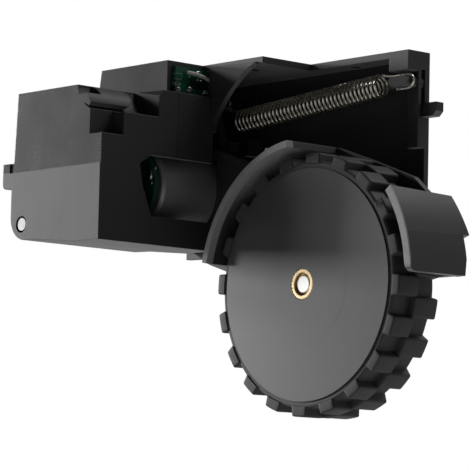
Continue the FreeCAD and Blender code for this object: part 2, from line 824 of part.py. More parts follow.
def mudguard_block():
    # the block in front of the wheel: its inner end is longer above the notch, its foot is planed off
    body = block_panel(block_start, block_end, block_inner_y).fuse(block_panel(lip_start, block_end, block_lip_y))
    body = body.removeSplitter()
    far_radius = block_outer_radius + block_flare * block_inner_y
    near = Vector(block_foot(block_outer_radius, block_foot_z), block_outer_y, block_foot_z)
    far = Vector(block_foot(far_radius, block_far_foot_z), block_inner_y, block_far_foot_z)
    low_x, low_z = polar(far_radius - block_foot_inset, block_start - 0.8)
    across, down = far - near, Vector(low_x, block_inner_y, low_z) - far
    outward = down.cross(across).normalize()
    planed = Part.Face(Part.makePolygon([near - across, far + across, far + across + down * 2,
                                         near - across + down * 2, near - across])).extrude(outward * 4)
    slant_near = polar(block_outer_radius, block_end)
    slant_far = polar(block_outer_radius, block_far_end)
    top = Part.Face(Part.makePolygon([Vector(slant_near[0] - 8, block_outer_y, slant_near[1]),
                                      Vector(slant_near[0] + 8, block_outer_y, slant_near[1]),
                                      Vector(slant_far[0] + 8, block_lip_y, slant_far[1]),
                                      Vector(slant_far[0] - 8, block_lip_y, slant_far[1]),
                                      Vector(slant_near[0] - 8, block_outer_y, slant_near[1])]))
    lip_low, lip_high = polar(block_inner_radius, lip_start)[1], polar(far_radius, block_far_end)[1]
    slant = front_plate([(block_lip_y, lip_low), (block_lip_y + 2, lip_low), (block_lip_y + 2, lip_high + 3),
                         (lip_top_y, lip_high + 3), (lip_top_y, lip_high)], block_inner_radius - 12, far_radius + 2)
    low = polar(block_outer_radius, block_start)[1]
    corner = box(block_inner_radius - 2, block_outer_radius + 2, block_outer_y - 1, block_outer_y + block_round,
                 low - 2, low + block_round)
    drum = Part.makeCylinder(block_round, 8, Vector(block_inner_radius - 3, block_outer_y + block_round, low + block_round),
                             Vector(1, 0, 0))
    return body.cut([planed, top.extrude(Vector(0, 0, 6)), slant, corner.cut(drum)])


def block_foot(radius, foot_z):
    return math.sqrt(radius ** 2 - foot_z ** 2)


def mudguard():
    outer = guard_inner_radius + guard_thickness
    left = sector(guard_inner_radius, outer, guard_start, guard_end, guard_outer_y, plate_outer_y + 1)
    return [left, mudguard_block()]


def shoulder_web():
    # the thin web between the motor's ring and the mudguard, with a rib along its top edge
    web = side_plate([rib_start, rib_end] + web_low, rib_outer_y + 0.6, case_face_y + 0.5)
    lean = math.atan2(rib_end[1] - rib_start[1], rib_end[0] - rib_start[0])
    below = (rib_height * math.sin(lean), -rib_height * math.cos(lean))
    rib = side_plate([rib_start, rib_end, (rib_end[0] + below[0], rib_end[1] + below[1]),
                      (rib_start[0] + below[0], rib_start[1] + below[1])], rib_outer_y, case_face_y + 0.5)
    return [web, rib]


def spring_lever():
    # the horn that the spring pulls, with its peg and the lug that meets the stop
    y1 = case_inner_y - 1.3
    y0 = y1 - lever_thickness
    root = (motor_x + lever_root[0], motor_z + lever_root[1])
    horn = link(root, lever_root_radius, (arm_hook_x, arm_hook_z), arm_hook_radius + 0.4, y0, y1)
    peg = rod(arm_hook_x, arm_hook_z, arm_hook_radius, y1 - 0.5, hook_inner_y)
    lug_x = stop_face_x - body_gap
    stop_lug = box(lug_x - stop_lug_length, lug_x, y1 - 0.5, stop_pad_y + stop_pad_width - 0.4,
                   stop_low_z + 0.2, stop_low_z + stop_height - 0.2)
    return [horn, peg, stop_lug]


def gear_centres():
    return {"first": first_centre, "second": second_centre, "third": third_centre}


def pin_spans():
    # where each gear's pin starts and ends in the walls of the case
    first_wall = case_inner_y - case_wall
    third_wall = layer_third[1] + 0.4
    return {"first": (case_face_y + 0.8, first_wall + 0.8), "second": (case_face_y + 0.8, first_wall + 0.8),
            "third": (plate_outer_y + 0.8, third_wall + 0.8)}


def gear_posts():
    # posts in the outer half that keep each gear in its layer
    tops = {"first": layer_second[0], "second": layer_third[0], "third": layer_output[0]}
    posts = []
    for name, (x, z) in gear_centres().items():
        foot = plate_outer_y + 0.5 if name == "third" else case_face_y + 0.5
        posts.append(rod(x, z, gear_pin_radius + 1.2, foot, tops[name] - body_gap))
    return posts


def case_screw_places():
    # the screws stand outside the gear rooms: one by the pivot, two beside the output gear
    toward_motor = bearing(pivot_centre, motor_centre)
    return [polar(6.8, toward_motor, *pivot_centre), polar(axle_case_radius + 0.6, -75.0),
            polar(axle_case_radius + 0.6, 62.0)]


def motor_screw_places():
    return [polar(8.2, angle, *motor_centre) for angle in (150.0, -30.0)]


def gear_case_outer():
    stations = ["pivot", "motor", "first", "second", "third", "axle"]
    solid = case_links(case_wall, case_face_y, case_split_y, stations)
    third_room = room_radius(third_teeth, third_module)
    near_axle = link(third_centre, third_room + case_wall, axle_centre, axle_case_radius, plate_outer_y, case_split_y)
    room = case_links(0, case_face_y + case_wall, case_split_y + 1, stations[1:])
    near_room = link(third_centre, third_room, axle_centre, axle_case_radius - case_wall,
                     plate_outer_y + case_wall, case_split_y + 1)
    ring = rod(motor_x, motor_z, motor_ring_radius, case_face_y - 1.4, case_face_y + 0.5)
    boss = rod(pivot_x, pivot_z, pivot_boss_radius, arm_boss_y, case_split_y)
    bush_boss = rod(0, 0, axle_boss_radius, plate_outer_y, bush_end_y)
    body = join([solid, near_axle, guard_plate(), ring, boss] + mudguard() + shoulder_web())
    screw_bosses = [rod(x, z, screw_boss_radius, plate_outer_y + 0.5 if x > first_centre[0] else case_face_y, case_split_y)
                    for x, z in case_screw_places()]
    body = join([body] + screw_bosses).cut([room, near_room])
    body = join([body, bush_boss] + gear_posts())
    cuts = [
        rod(motor_x, motor_z, motor_radius, 0, motor_front_y),
        rod(motor_x, motor_z, 3.2, 0, case_split_y),
        rod(pivot_x, pivot_z, pin_radius + running_fit, 0, case_inner_y),
        rod(0, 0, bush_radius, 0, case_inner_y),
    ]
    spans = pin_spans()
    for name, (x, z) in gear_centres().items():
        cuts.append(rod(x, z, gear_pin_radius, spans[name][0], case_inner_y))
    for x, z in case_screw_places():
        cuts.append(rod(x, z, screw_radius, case_split_y - screw_grip, case_split_y + 1))
    for x, z in motor_screw_places():
        cuts.append(rod(x, z, screw_radius, motor_front_y - 1, case_split_y))
    return body.cut(cuts)


def gear_case_inner():
    stations = ["pivot", "motor", "first", "second"]
    deep = case_links(case_wall, case_split_y, case_inner_y, stations)
    deep_room = case_links(0, case_split_y - 1, case_inner_y - case_wall, stations[1:])
    mid_end = layer_third[1] + 0.4 + case_wall
    second_room, third_room = room_radius(second_teeth, second_module), room_radius(third_teeth, third_module)
    mid = link(second_centre, second_room + case_wall, third_centre, third_room + case_wall, case_split_y, mid_end)
    mid_room = link(second_centre, second_room, third_centre, third_room, case_split_y - 1, mid_end - case_wall)
    low_plate = link(third_centre, third_room + case_wall, axle_centre, axle_case_radius,
                     case_split_y, case_split_y + case_wall)
    boss = rod(0, 0, axle_boss_radius, case_split_y, bush_inner_end_y)
    pivot_tube = rod(pivot_x, pivot_z, pivot_boss_radius, case_split_y, case_inner_y)
    screw_bosses = [rod(x, z, screw_boss_radius, case_split_y, case_split_y + screw_boss_length)
                    for x, z in case_screw_places()]
    body = join([deep, mid, low_plate, boss, pivot_tube] + screw_bosses)
    body = body.cut([deep_room, mid_room])
    body = join([body] + spring_lever())
    cuts = [
        rod(pivot_x, pivot_z, pin_radius + running_fit, 0, case_inner_y + 1),
        rod(0, 0, bush_radius, 0, case_inner_y),
    ]
    spans = pin_spans()
    for name, (x, z) in gear_centres().items():
        cuts.append(rod(x, z, gear_pin_radius, 0, spans[name][1]))
    seat_y = case_split_y + screw_boss_length
    for x, z in case_screw_places():
        cuts.append(rod(x, z, screw_radius, 0, seat_y + 1))
        cuts.append(rod(x, z, screw_head_radius, seat_y, case_inner_y + 1))
    return body.cut(cuts)


def screw(x, z, tip_y, seat_y):
    # a pan-head screw with a cross recess, its head on the inner side
    shank = rod(x, z, screw_radius, tip_y, seat_y)
    head = rod(x, z, screw_head_radius, seat_y, seat_y + screw_head_height)
    top = seat_y + screw_head_height
    reach, half = screw_slot_length / 2, screw_slot_width / 2
    slots = [box(x - reach, x + reach, top - screw_slot_depth, top + 1, z - half, z + half),
             box(x - half, x + half, top - screw_slot_depth, top + 1, z - reach, z + reach)]
    return join([shank, head]).cut(slots)


def case_screws():
    seat_y = case_split_y + screw_boss_length
    return Part.makeCompound([screw(x, z, case_split_y - screw_grip, seat_y) for x, z in case_screw_places()])


def motor_screws():
    seat_y = case_face_y + case_wall
    return Part.makeCompound([screw(x, z, motor_front_y - 1.2, seat_y) for x, z in motor_screw_places()])


def bush_outer():
    return tube(0, 0, axle_radius + running_fit, bush_radius, plate_outer_y, bush_end_y)


def bush_inner():
    return tube(0, 0, axle_radius + running_fit, bush_radius, bush_inner_end_y - 4.0, bush_inner_end_y)


def gear_pins():
    spans = pin_spans()
    return {name + "_gear_pin": rod(x, z, gear_pin_radius, *spans[name]) for name, (x, z) in gear_centres().items()}


# Motor

def motor_can():
    can = rod(motor_x, motor_z, motor_radius, motor_back_y, motor_front_y)
    can = can.makeChamfer(can_edge, [edge for edge in circles(can) if abs(edge.CenterOfMass.y - motor_back_y) < 0.01])
    cuts = [rod(motor_x, motor_z, motor_shaft_radius + running_fit, motor_back_y - 1, motor_front_y + 1)]
    for x, z in motor_screw_places():
        cuts.append(rod(x, z, screw_radius, motor_front_y - 1.2, motor_front_y + 1))
    return can.cut(cuts)


def motor_end_cap():
    return tube(motor_x, motor_z, motor_shaft_radius + running_fit, motor_radius - 1.4,
                motor_back_y - motor_cap_length, motor_back_y)


def encoder_board():
    y1 = motor_back_y - motor_cap_length
    return tube(motor_x, motor_z, motor_shaft_radius + 1.4, encoder_board_radius, y1 - encoder_board_thickness, y1)


def motor_shaft():
    return rod(motor_x, motor_z, motor_shaft_radius, encoder_disc_y - 0.6, layer_first[1])


def encoder_disc():
    return tube(motor_x, motor_z, motor_shaft_radius, 3.6, encoder_disc_y, encoder_disc_y + 1.4)


# Spring and leads

def spring_route():
    lean = math.atan2(spring_right_z - spring_left_z, spring_right_x - spring_left_x)
    length = math.hypot(spring_right_x - spring_left_x, spring_right_z - spring_left_z)
    along = Vector(math.cos(lean), 0, math.sin(lean))
    upward = Vector(-math.sin(lean), 0, math.cos(lean))
    inward = Vector(0, 1, 0)
    start = Vector(spring_left_x, spring_y, spring_left_z)
    loop = arm_hook_radius + spring_wire_radius + 0.06
    route = []
    for index in range(11):
        x, z = polar(loop, -20.0 + 30.5 * index, arm_hook_x, arm_hook_z)
        route.append(Vector(x, spring_y, z))
    route.append(start + upward * spring_radius - along * 1.1 - inward * 0.5)
    turns = spring_turns * coil_sides
    for index in range(1, turns):
        angle = 2 * math.pi * index / coil_sides
        route.append(start + along * (length * index / turns) + upward * (spring_radius * math.cos(angle))
                     + inward * (spring_radius * math.sin(angle)))
    loop = frame_hook_radius + spring_wire_radius + 0.06
    route.append(Vector(spring_right_x + 0.9, spring_y - 0.2, spring_right_z + spring_radius - 0.5))
    route.append(Vector(frame_hook_x - frame_hook_length - 0.4, spring_y, frame_hook_z + loop))
    for index in range(6):
        x, z = polar(loop, 90.0 - 36.0 * index, frame_hook_x, frame_hook_z)
        route.append(Vector(x, spring_y, z))
    route.append(Vector(frame_hook_x - frame_hook_length + 0.6, spring_y, frame_hook_z - loop))
    return route


def return_spring():
    return tube_along(spring_route(), spring_wire_radius, 4)


def lead_routes():
    face = board_x + board_thickness
    board_y = motor_back_y - motor_cap_length - encoder_board_thickness
    white = [(face + 0.12, 11.1, 65.6), (face + 0.8, 11.1, 65.6), (face + 1.6, 12.8, 66.2), (face + 1.6, 18.1, 65.4),
             (face + 2.1, 20.3, 63.2), (face + 2.1, 19.8, 60.2), (face + 1.2, 18.4, 56.5), (face + 0.9, 18.0, 52.0),
             (face + 0.3, 18.0, 49.6), (-62.8, 17.6, 48.8), (-65.0, 16.4, 48.6), (-67.5, 12.5, 48.9), (-70.0, 4.0, 48.4),
             (-71.6, -1.5, 47.4), (-72.4, -4.2, 45.2),
             (-72.4, -4.6, 42.6), (-72.4, -3.9, 41.2), (-72.4, board_y - body_gap, 41.0)]
    red = [(face + 0.12, 18.9, 60.2), (face + 0.75, 18.9, 60.2), (face + 0.75, 20.3, 59.6), (face + 0.4, 21.8, 57.6),
           (face - 0.6, 21.7, 54.0), (-64.2, 20.4, 51.2), (-67.6, 14.5, 51.0), (-71.5, 6.0, 49.6),
           (-75.6, -0.5, 47.6), (-76.4, -4.2, 45.2), (-76.4, -4.6, 42.6), (-76.4, -3.9, 41.2),
           (-76.4, board_y - body_gap, 41.0)]
    return {"lead_white": white, "lead_red": red}


def leads():
    shapes = {}
    for name, route in lead_routes().items():
        points = smooth_route([Vector(*point) for point in route], 2)
        shapes[name] = tube_along(points, lead_radius, 6)
    return shapes


# Parts list

def gear_set():
    pinion = gear(pinion_teeth, first_module, motor_centre, *layer_first, bearing(motor_centre, first_centre))
    first_large = gear(first_teeth, first_module, first_centre, *layer_first,
                       bearing(first_centre, motor_centre) + 180.0 / first_teeth)
    first_small = gear(first_small_teeth, second_module, first_centre, layer_second[0], layer_first[0] + 0.1,
                       bearing(first_centre, second_centre))
    second_large = gear(second_teeth, second_module, second_centre, *layer_second,
                        bearing(second_centre, first_centre) + 180.0 / second_teeth)
    second_small = gear(second_small_teeth, third_module, second_centre, layer_third[0], layer_second[0] + 0.1,
                        bearing(second_centre, third_centre))
    third_large = gear(third_teeth, third_module, third_centre, *layer_third,
                       bearing(third_centre, second_centre) + 180.0 / third_teeth)
    third_small = gear(third_small_teeth, output_module, third_centre, layer_output[0], layer_third[0] + 0.1,
                       bearing(third_centre, axle_centre))
    output = gear(output_teeth, output_module, axle_centre, *layer_output,
                  bearing(axle_centre, third_centre) + 180.0 / output_teeth)
    bore = gear_pin_radius + running_fit
    return {
        "drive_pinion": compound_gear(motor_centre, [pinion], motor_shaft_radius),
        "first_gear": compound_gear(first_centre, [first_large, first_small], bore),
        "second_gear": compound_gear(second_centre, [second_large, second_small], bore),
        "third_gear": compound_gear(third_centre, [third_large, third_small], bore),
        "output_gear": compound_gear(axle_centre, [output], axle_radius),
    }


def build():
    nodes = {
        "frame_housing": frame_housing(),
        "pivot_pin": pivot_pin(),
        "pivot_clip": spring_clip(pivot_x, pivot_z, pin_radius, back_y),
        "connector_board": connector_board(),
        "solder_joints": solder_joints(),
        "contact_block": contact_block(),
        "contact_pins": contact_pins(),
        "stop_pad": stop_pad(),
        "return_spring": return_spring(),
        "gear_case_outer": gear_case_outer(),
        "gear_case_inner": gear_case_inner(),
        "case_screws": case_screws(),
        "bush_outer": bush_outer(),
        "bush_inner": bush_inner(),
        "motor_can": motor_can(),
        "motor_end_cap": motor_end_cap(),
        "motor_screws": motor_screws(),
        "encoder_board": encoder_board(),
        "motor_shaft": motor_shaft(),
        "encoder_disc": encoder_disc(),
        "wheel_rim": wheel_rim(),
        "tyre": tyre(),
        "hub_insert": hub_insert(),
        "axle_shaft": axle_shaft(),
        "axle_clip": spring_clip(0, 0, axle_radius, axle_clip_y),
    }
    nodes.update(gear_pins())
    nodes.update(gear_set())
    nodes.update(leads())
    return nodes


# The stored part's origin is on the seat that meets the robot's chassis
seat = Vector(seat_x, seat_y, flange_top_z)
for name, shape in build().items():
    shape.translate(seat * -1)
    bounds = shape.BoundBox
    print("%-18s solids %d valid %s volume %.1f  x %.1f %.1f  y %.1f %.1f  z %.1f %.1f" % (
        name, len(shape.Solids), shape.isValid(), shape.Volume,
        bounds.XMin, bounds.XMax, bounds.YMin, bounds.YMax, bounds.ZMin, bounds.ZMax))
    shape.exportStep("parts/" + name + ".step")
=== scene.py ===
import math

import bmesh
import bpy
from mathutils import Matrix, Vector


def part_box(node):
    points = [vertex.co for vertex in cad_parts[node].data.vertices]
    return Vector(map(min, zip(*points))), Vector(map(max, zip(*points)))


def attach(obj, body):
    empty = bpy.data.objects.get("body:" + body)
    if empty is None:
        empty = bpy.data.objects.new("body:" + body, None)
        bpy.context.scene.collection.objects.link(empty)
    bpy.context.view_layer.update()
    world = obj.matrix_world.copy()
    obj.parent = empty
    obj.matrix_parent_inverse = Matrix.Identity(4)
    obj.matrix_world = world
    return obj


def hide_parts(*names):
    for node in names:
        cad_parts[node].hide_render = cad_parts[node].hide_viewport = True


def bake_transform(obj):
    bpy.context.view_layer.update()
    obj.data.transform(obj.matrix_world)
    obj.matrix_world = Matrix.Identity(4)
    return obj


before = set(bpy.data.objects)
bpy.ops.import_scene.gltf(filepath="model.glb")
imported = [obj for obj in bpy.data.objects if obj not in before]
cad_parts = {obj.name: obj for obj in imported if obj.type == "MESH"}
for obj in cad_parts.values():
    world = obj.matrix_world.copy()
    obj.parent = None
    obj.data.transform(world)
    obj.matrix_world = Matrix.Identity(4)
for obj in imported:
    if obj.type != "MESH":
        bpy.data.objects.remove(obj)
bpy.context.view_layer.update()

mm = 0.001
perMetre = 1000.0

# Every place here is in millimetres from the centre of the wheel's outer face
rimLow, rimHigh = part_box("wheel_rim")
wheelCentre = Vector(((rimLow.x + rimHigh.x) / 2, rimLow.y, (rimLow.z + rimHigh.z) / 2))


def place(x, y, z):
    return wheelCentre + Vector((x, y, z)) * mm


# Shader maths

class Wire:
    def __init__(self, tree, socket):
        self.tree = tree
        self.socket = socket

    def math(self, operation, first, second=0.0, third=0.0):
        sockets = {0: first, 1: second, 2: third}
        return build(self.tree, "ShaderNodeMath", {"operation": operation}, sockets)

    def __add__(self, other):
        return self.math("ADD", self, other)

    def __radd__(self, other):
        return self.math("ADD", other, self)

    def __sub__(self, other):
        return self.math("SUBTRACT", self, other)

    def __rsub__(self, other):
        return self.math("SUBTRACT", other, self)

    def __mul__(self, other):
        return self.math("MULTIPLY", self, other)

    def __rmul__(self, other):
        return self.math("MULTIPLY", other, self)

    def clamped(self):
        return self.math("MINIMUM", self.math("MAXIMUM", self, 0.0), 1.0)

    def spread(self, amount):
        # a pattern swung both ways about nought
        return (self - 0.5) * amount

    def step(self, low, high):
        settings = {"interpolation_type": "SMOOTHSTEP"}
        return build(self.tree, "ShaderNodeMapRange", settings, {0: self, 1: low, 2: high, 3: 0.0, 4: 1.0})

    def within(self, low, high, soft=0.12):
        return self.step(low - soft, low + soft) * self.step(high + soft, high - soft)


def build(tree, kind, settings=None, sockets=None, out=0):
    # a node of any type, its settings first and then its sockets
    node = tree.nodes.new(kind)
    for name, value in (settings or {}).items():
        setattr(node, name, value)
    for name, value in (sockets or {}).items():
        if isinstance(value, Wire):
            tree.links.new(value.socket, node.inputs[name])
        else:
            node.inputs[name].default_value = value
    return Wire(tree, node.outputs[out]) if len(node.outputs) else node


class Finish:
    # one surface finish: its pattern nodes and its shader
    def __init__(self, name):
        self.material = bpy.data.materials.new(name)
        self.material.use_nodes = True
        self.tree = self.material.node_tree
        self.tree.nodes.clear()
        self.spot = self.node("ShaderNodeTexCoord", out=3)

    def node(self, kind, settings=None, sockets=None, out=0):
        return build(self.tree, kind, settings, sockets, out)

    def vector(self, operation, *inputs, out=0):
        return self.node("ShaderNodeVectorMath", {"operation": operation}, dict(enumerate(inputs)), out)

    def stretched(self, across, up):
        # the object's own coordinates, drawn out along Y or Z for flow lines
        return self.vector("MULTIPLY", self.spot, (1.0, across, up))

    def noise(self, size, detail=3.0, roughness=0.55, spot=None):
        # size in millimetres
        settings = {"noise_dimensions": "3D"}
        sockets = {"Vector": spot or self.spot, "Scale": perMetre / size, "Detail": detail,
                   "Roughness": roughness}
        return self.node("ShaderNodeTexNoise", settings, sockets)

    def patchy(self, pattern, least=0.6, swing=0.8):
        # uneven patches, for multiplying the painted light masks
        return least + self.noise(*pattern) * swing

    def part(self, axis, spot=None):
        return self.node("ShaderNodeSeparateXYZ", {}, {0: spot or self.spot}, out="XYZ".index(axis))

    def along(self, axis):
        # millimetres from the wheel's outer centre
        return (self.part(axis) - wheelCentre["XYZ".index(axis)]) * perMetre

    def mix(self, mask, first, second):
        settings = {"data_type": "RGBA", "clamp_factor": True}
        return self.node("ShaderNodeMix", settings, {0: mask, 6: first, 7: second}, out=2)

    def edgeNormal(self, radius):
        return self.node("ShaderNodeBevel", {"samples": 4}, {"Radius": radius * mm})

    def edgeMask(self, soft, low=0.02, high=0.25):
        flat = self.node("ShaderNodeNewGeometry", {}, {}, out=1)
        return (1 - self.vector("DOT_PRODUCT", soft, flat, out=1)).step(low, high)

    def bump(self, height, strength, depth, normal=None):
        sockets = {"Strength": strength, "Distance": depth * mm, "Height": height}
        if normal:
            sockets["Normal"] = normal
        return self.node("ShaderNodeBump", {}, sockets)

    def shader(self, base, rough, normal, fixed=None):
        sockets = {"Base Color": base, "Roughness": rough.clamped(), "Normal": normal, **(fixed or {})}
        surface = self.node("ShaderNodeBsdfPrincipled", {}, sockets)
        self.node("ShaderNodeOutputMaterial", {}, {"Surface": surface})
        return self.material


def grey(level):
    return (level, level, level, 1.0)


def tinted(level, red, blue):
    return (level * red, level, level * blue, 1.0)


def shaded(level, tint):
    # a tint is its share of the level, then how red and how blue
    share, red, blue = tint
    return tinted(level * share, red, blue)


# In the dictionaries below a pattern is its size in millimetres, its detail and its roughness,
# and a pair ending in Steps is where a mask begins and where it is full

# Moulded plastics

plastics = {
    "housingPlastic": {"level": 0.031, "roughness": 0.50, "sheen": 0.385, "edgeRadius": 0.3, "flow": 0.07,
                       "smoother": 0.25},
    "casePlastic": {"level": 0.034, "roughness": 0.50, "sheen": 0.56, "edgeRadius": 0.25, "flow": 0.05,
                    "paintedLitEdge": True},
    "socketPlastic": {"level": 0.045, "roughness": 0.50, "sheen": 0.5, "edgeRadius": 0.12, "flow": 0.03},
}
mould = {
    "grain": (0.35, 2.0, 0.6), "cloud": (14.0, 3.0, 0.5), "streak": (3.2, 2.0, 0.5),
    "scuff": (1.6, 5.0, 0.7), "speck": (0.9, 1.0, 0.4), "underLightPatch": (3.0, 4.0, 0.6), "litEdgePatch": (2.5, 3.0, 0.6),
    "darkTint": (0.86, 1.0, 1.02), "paleTint": (1.14, 1.01, 1.0),
    "streakStretch": (1.0, 0.07), "scuffStretch": (0.35, 1.0), "scuffSteps": (0.66, 0.78),
    "speckSteps": (0.71, 0.76), "underSteps": (-0.5, -0.9), "litEdgeSteps": (0.5, 0.1),
    "edgeShare": 0.45, "edgePaler": 2.2, "scuffShare": 0.12, "scuffPaler": 2.0, "dust": 0.06,
    "dustGrey": 0.16, "paintedUnderLightGrey": 0.26, "paintedLitEdgeGrey": 0.30, "cloudRough": 0.06, "scuffRough": 0.05,
    "grainRough": 0.05,
    "creaseZ": 35.6, "creaseSoft": 0.2, "smoothFaces": ((-26.0, -24.9), (3.0, 3.5)), "faceSoft": 0.1,
    "calmer": 0.8, "grainHeight": 0.8, "streakHeight": 0.3, "bump": 0.35, "depth": 0.012,
}


def mouldedPlastic(name, level, roughness, sheen, edgeRadius, flow, smoother=0.0, paintedLitEdge=False):
    # black moulding plastic: fine grain, flow lines, pale edges that are partly wear and partly painted
    # highlight, painted light on the undersides, a little dust
    finish = Finish(name)
    soft = finish.edgeNormal(edgeRadius)
    edge = finish.edgeMask(soft)
    grain = finish.noise(*mould["grain"])
    cloud = finish.noise(*mould["cloud"])
    streak = finish.noise(*mould["streak"], finish.stretched(*mould["streakStretch"]))
    scuff = finish.noise(*mould["scuff"], finish.stretched(*mould["scuffStretch"]))
    scuff = scuff.step(*mould["scuffSteps"])
    speck = finish.noise(*mould["speck"]).step(*mould["speckSteps"])
    base = finish.mix(cloud, shaded(level, mould["darkTint"]), shaded(level, mould["paleTint"]))
    # pale edges, partly wear and partly a painted edge highlight
    base = finish.mix(edge * mould["edgeShare"], base, grey(level * mould["edgePaler"]))
    base = finish.mix(scuff * mould["scuffShare"], base, grey(level * mould["scuffPaler"]))
    base = finish.mix(speck * mould["dust"], base, grey(mould["dustGrey"]))
    # painted light: faces turned downwards are made paler in patches, where light from below falls
    under = finish.part("Z", soft).step(*mould["underSteps"]) * finish.patchy(mould["underLightPatch"])
    base = finish.mix(under.clamped(), base, grey(mould["paintedUnderLightGrey"]))
    if paintedLitEdge:
        # painted light: the mudguard's near edges are made pale in patches, standing in for light falling on
        # them
        lip = finish.along("Y").step(*mould["litEdgeSteps"]) * finish.patchy(mould["litEdgePatch"])
        base = finish.mix(lip.clamped(), base, grey(mould["paintedLitEdgeGrey"]))
    rough = (roughness + streak.spread(flow) + cloud.spread(mould["cloudRough"])
             + scuff * mould["scuffRough"] + grain.spread(mould["grainRough"]))
    if smoother:
        # the mould is smoother on the outer faces above the crease
        across = finish.along("Y")
        faces = [across.within(low, high, mould["faceSoft"]) for low, high in mould["smoothFaces"]]
        crease, soften = mould["creaseZ"], mould["creaseSoft"]
        upper = finish.along("Z").step(crease - soften, crease + soften) * (faces[0] + faces[1])
        rough = rough - upper * (smoother + streak.spread(flow) * mould["calmer"])
    height = grain * mould["grainHeight"] + streak * mould["streakHeight"]
    normal = finish.bump(height, mould["bump"], mould["depth"], soft)
    return finish.shader(base, rough, normal, {"Specular IOR Level": sheen})


# Wheel disc

disc = {
    "level": 0.034, "roughness": 0.46, "sheen": 0.58, "edgeRadius": 0.25,
    "grain": (0.35, 2.0, 0.6), "cloud": (9.0, 4.0, 0.55), "smear": (3.0, 4.0, 0.6), "speck": (0.8, 1.0, 0.4),
    "darkTint": (0.85, 1.0, 1.0), "paleTint": (1.15, 1.0, 1.0),
    "smearSteps": (0.62, 0.75), "speckSteps": (0.7, 0.76), "insideSteps": (17.4, 16.2),
    "ringSteps": (15.9, 16.7), "ringShare": 0.2, "ringDarker": 0.75, "smearShare": 0.1, "smearPaler": 1.9,
    "dust": 0.06, "dustGrey": 0.15, "cloudRough": 0.09, "smearRough": 0.04, "grainRough": 0.05,
    "grainHeight": 0.8, "ringHeight": 2.0, "frontSteps": (-0.9, -0.97), "flatter": (0.3, 1.0, -0.4),
    "tilt": (-0.02, 0.0, 0.0), "bump": 0.3, "depth": 0.012,
}


def discPlastic():
    # clouded plastic with smears, a faint ring round the axle and a front that shades flatter than its dish
    finish = Finish("wheelDisc")
    level = disc["level"]
    soft = finish.edgeNormal(disc["edgeRadius"])
    offset = finish.vector("SUBTRACT", finish.spot, tuple(wheelCentre))
    radius = finish.vector("LENGTH", finish.vector("MULTIPLY", offset, (1.0, 0.0, 1.0)), out=1) * perMetre
    grain = finish.noise(*disc["grain"])
    cloud = finish.noise(*disc["cloud"])
    smear = finish.noise(*disc["smear"]).step(*disc["smearSteps"])
    inside = radius.step(*disc["insideSteps"])
    ring = radius.step(*disc["ringSteps"]) * inside
    speck = finish.noise(*disc["speck"]).step(*disc["speckSteps"])
    base = finish.mix(cloud, shaded(level, disc["darkTint"]), shaded(level, disc["paleTint"]))
    base = finish.mix(ring * disc["ringShare"], base, grey(level * disc["ringDarker"]))
    base = finish.mix(smear * disc["smearShare"], base, grey(level * disc["smearPaler"]))
    base = finish.mix(speck * disc["dust"], base, grey(disc["dustGrey"]))
    rough = (disc["roughness"] + cloud.spread(disc["cloudRough"]) + smear * disc["smearRough"]
             + grain.spread(disc["grainRough"]))
    height = grain * disc["grainHeight"] + inside * disc["ringHeight"]
    front = finish.part("Y", soft).step(*disc["frontSteps"])
    flat = finish.vector("NORMALIZE", finish.vector("MULTIPLY_ADD", soft, disc["flatter"], disc["tilt"]))
    blend = finish.node("ShaderNodeMix", {"data_type": "VECTOR"}, {0: front, 4: soft, 5: flat}, out=1)
    normal = finish.bump(height, disc["bump"], disc["depth"], blend)
    return finish.shader(base, rough, normal, {"Specular IOR Level": disc["sheen"]})


# Rubber

rubbers = {"tyreRubber": {"level": 0.040, "dusty": 0.35}, "padRubber": {"level": 0.03, "dusty": 0.2}}
rubber = {
    "roughness": 0.62, "edgeRadius": 0.2, "grain": (0.22, 3.0, 0.65), "cloud": (5.0, 4.0, 0.6),
    "darkTint": (0.8, 1.0, 1.0), "paleTint": (1.2, 1.02, 0.98), "dust": (1.1, 5.0, 0.7),
    "dustSteps": (0.55, 0.8), "dustShare": 0.4, "dustColour": tinted(0.14, 1.03, 0.95),
    "edgeShare": 0.35, "edgePaler": 2.0, "cloudRough": 0.14, "dustRough": 0.15, "grainRough": 0.1,
    "cloudHeight": 0.5, "bump": 0.45, "depth": 0.03,
}


def treadRubber(name, level, dusty):
    # matt black rubber with a fine skin and floor dust in patches
    finish = Finish(name)
    soft = finish.edgeNormal(rubber["edgeRadius"])
    edge = finish.edgeMask(soft)
    grain = finish.noise(*rubber["grain"])
    cloud = finish.noise(*rubber["cloud"])
    dust = finish.noise(*rubber["dust"]).step(*rubber["dustSteps"]) * dusty
    base = finish.mix(cloud, shaded(level, rubber["darkTint"]), shaded(level, rubber["paleTint"]))
    base = finish.mix(edge * rubber["edgeShare"], base, grey(level * rubber["edgePaler"]))
    base = finish.mix(dust * rubber["dustShare"], base, rubber["dustColour"])
    rough = (rubber["roughness"] + cloud.spread(rubber["cloudRough"]) + dust * rubber["dustRough"]
             + grain.spread(rubber["grainRough"]))
    height = grain + cloud * rubber["cloudHeight"]
    return finish.shader(base, rough, finish.bump(height, rubber["bump"], rubber["depth"], soft))


# Metals

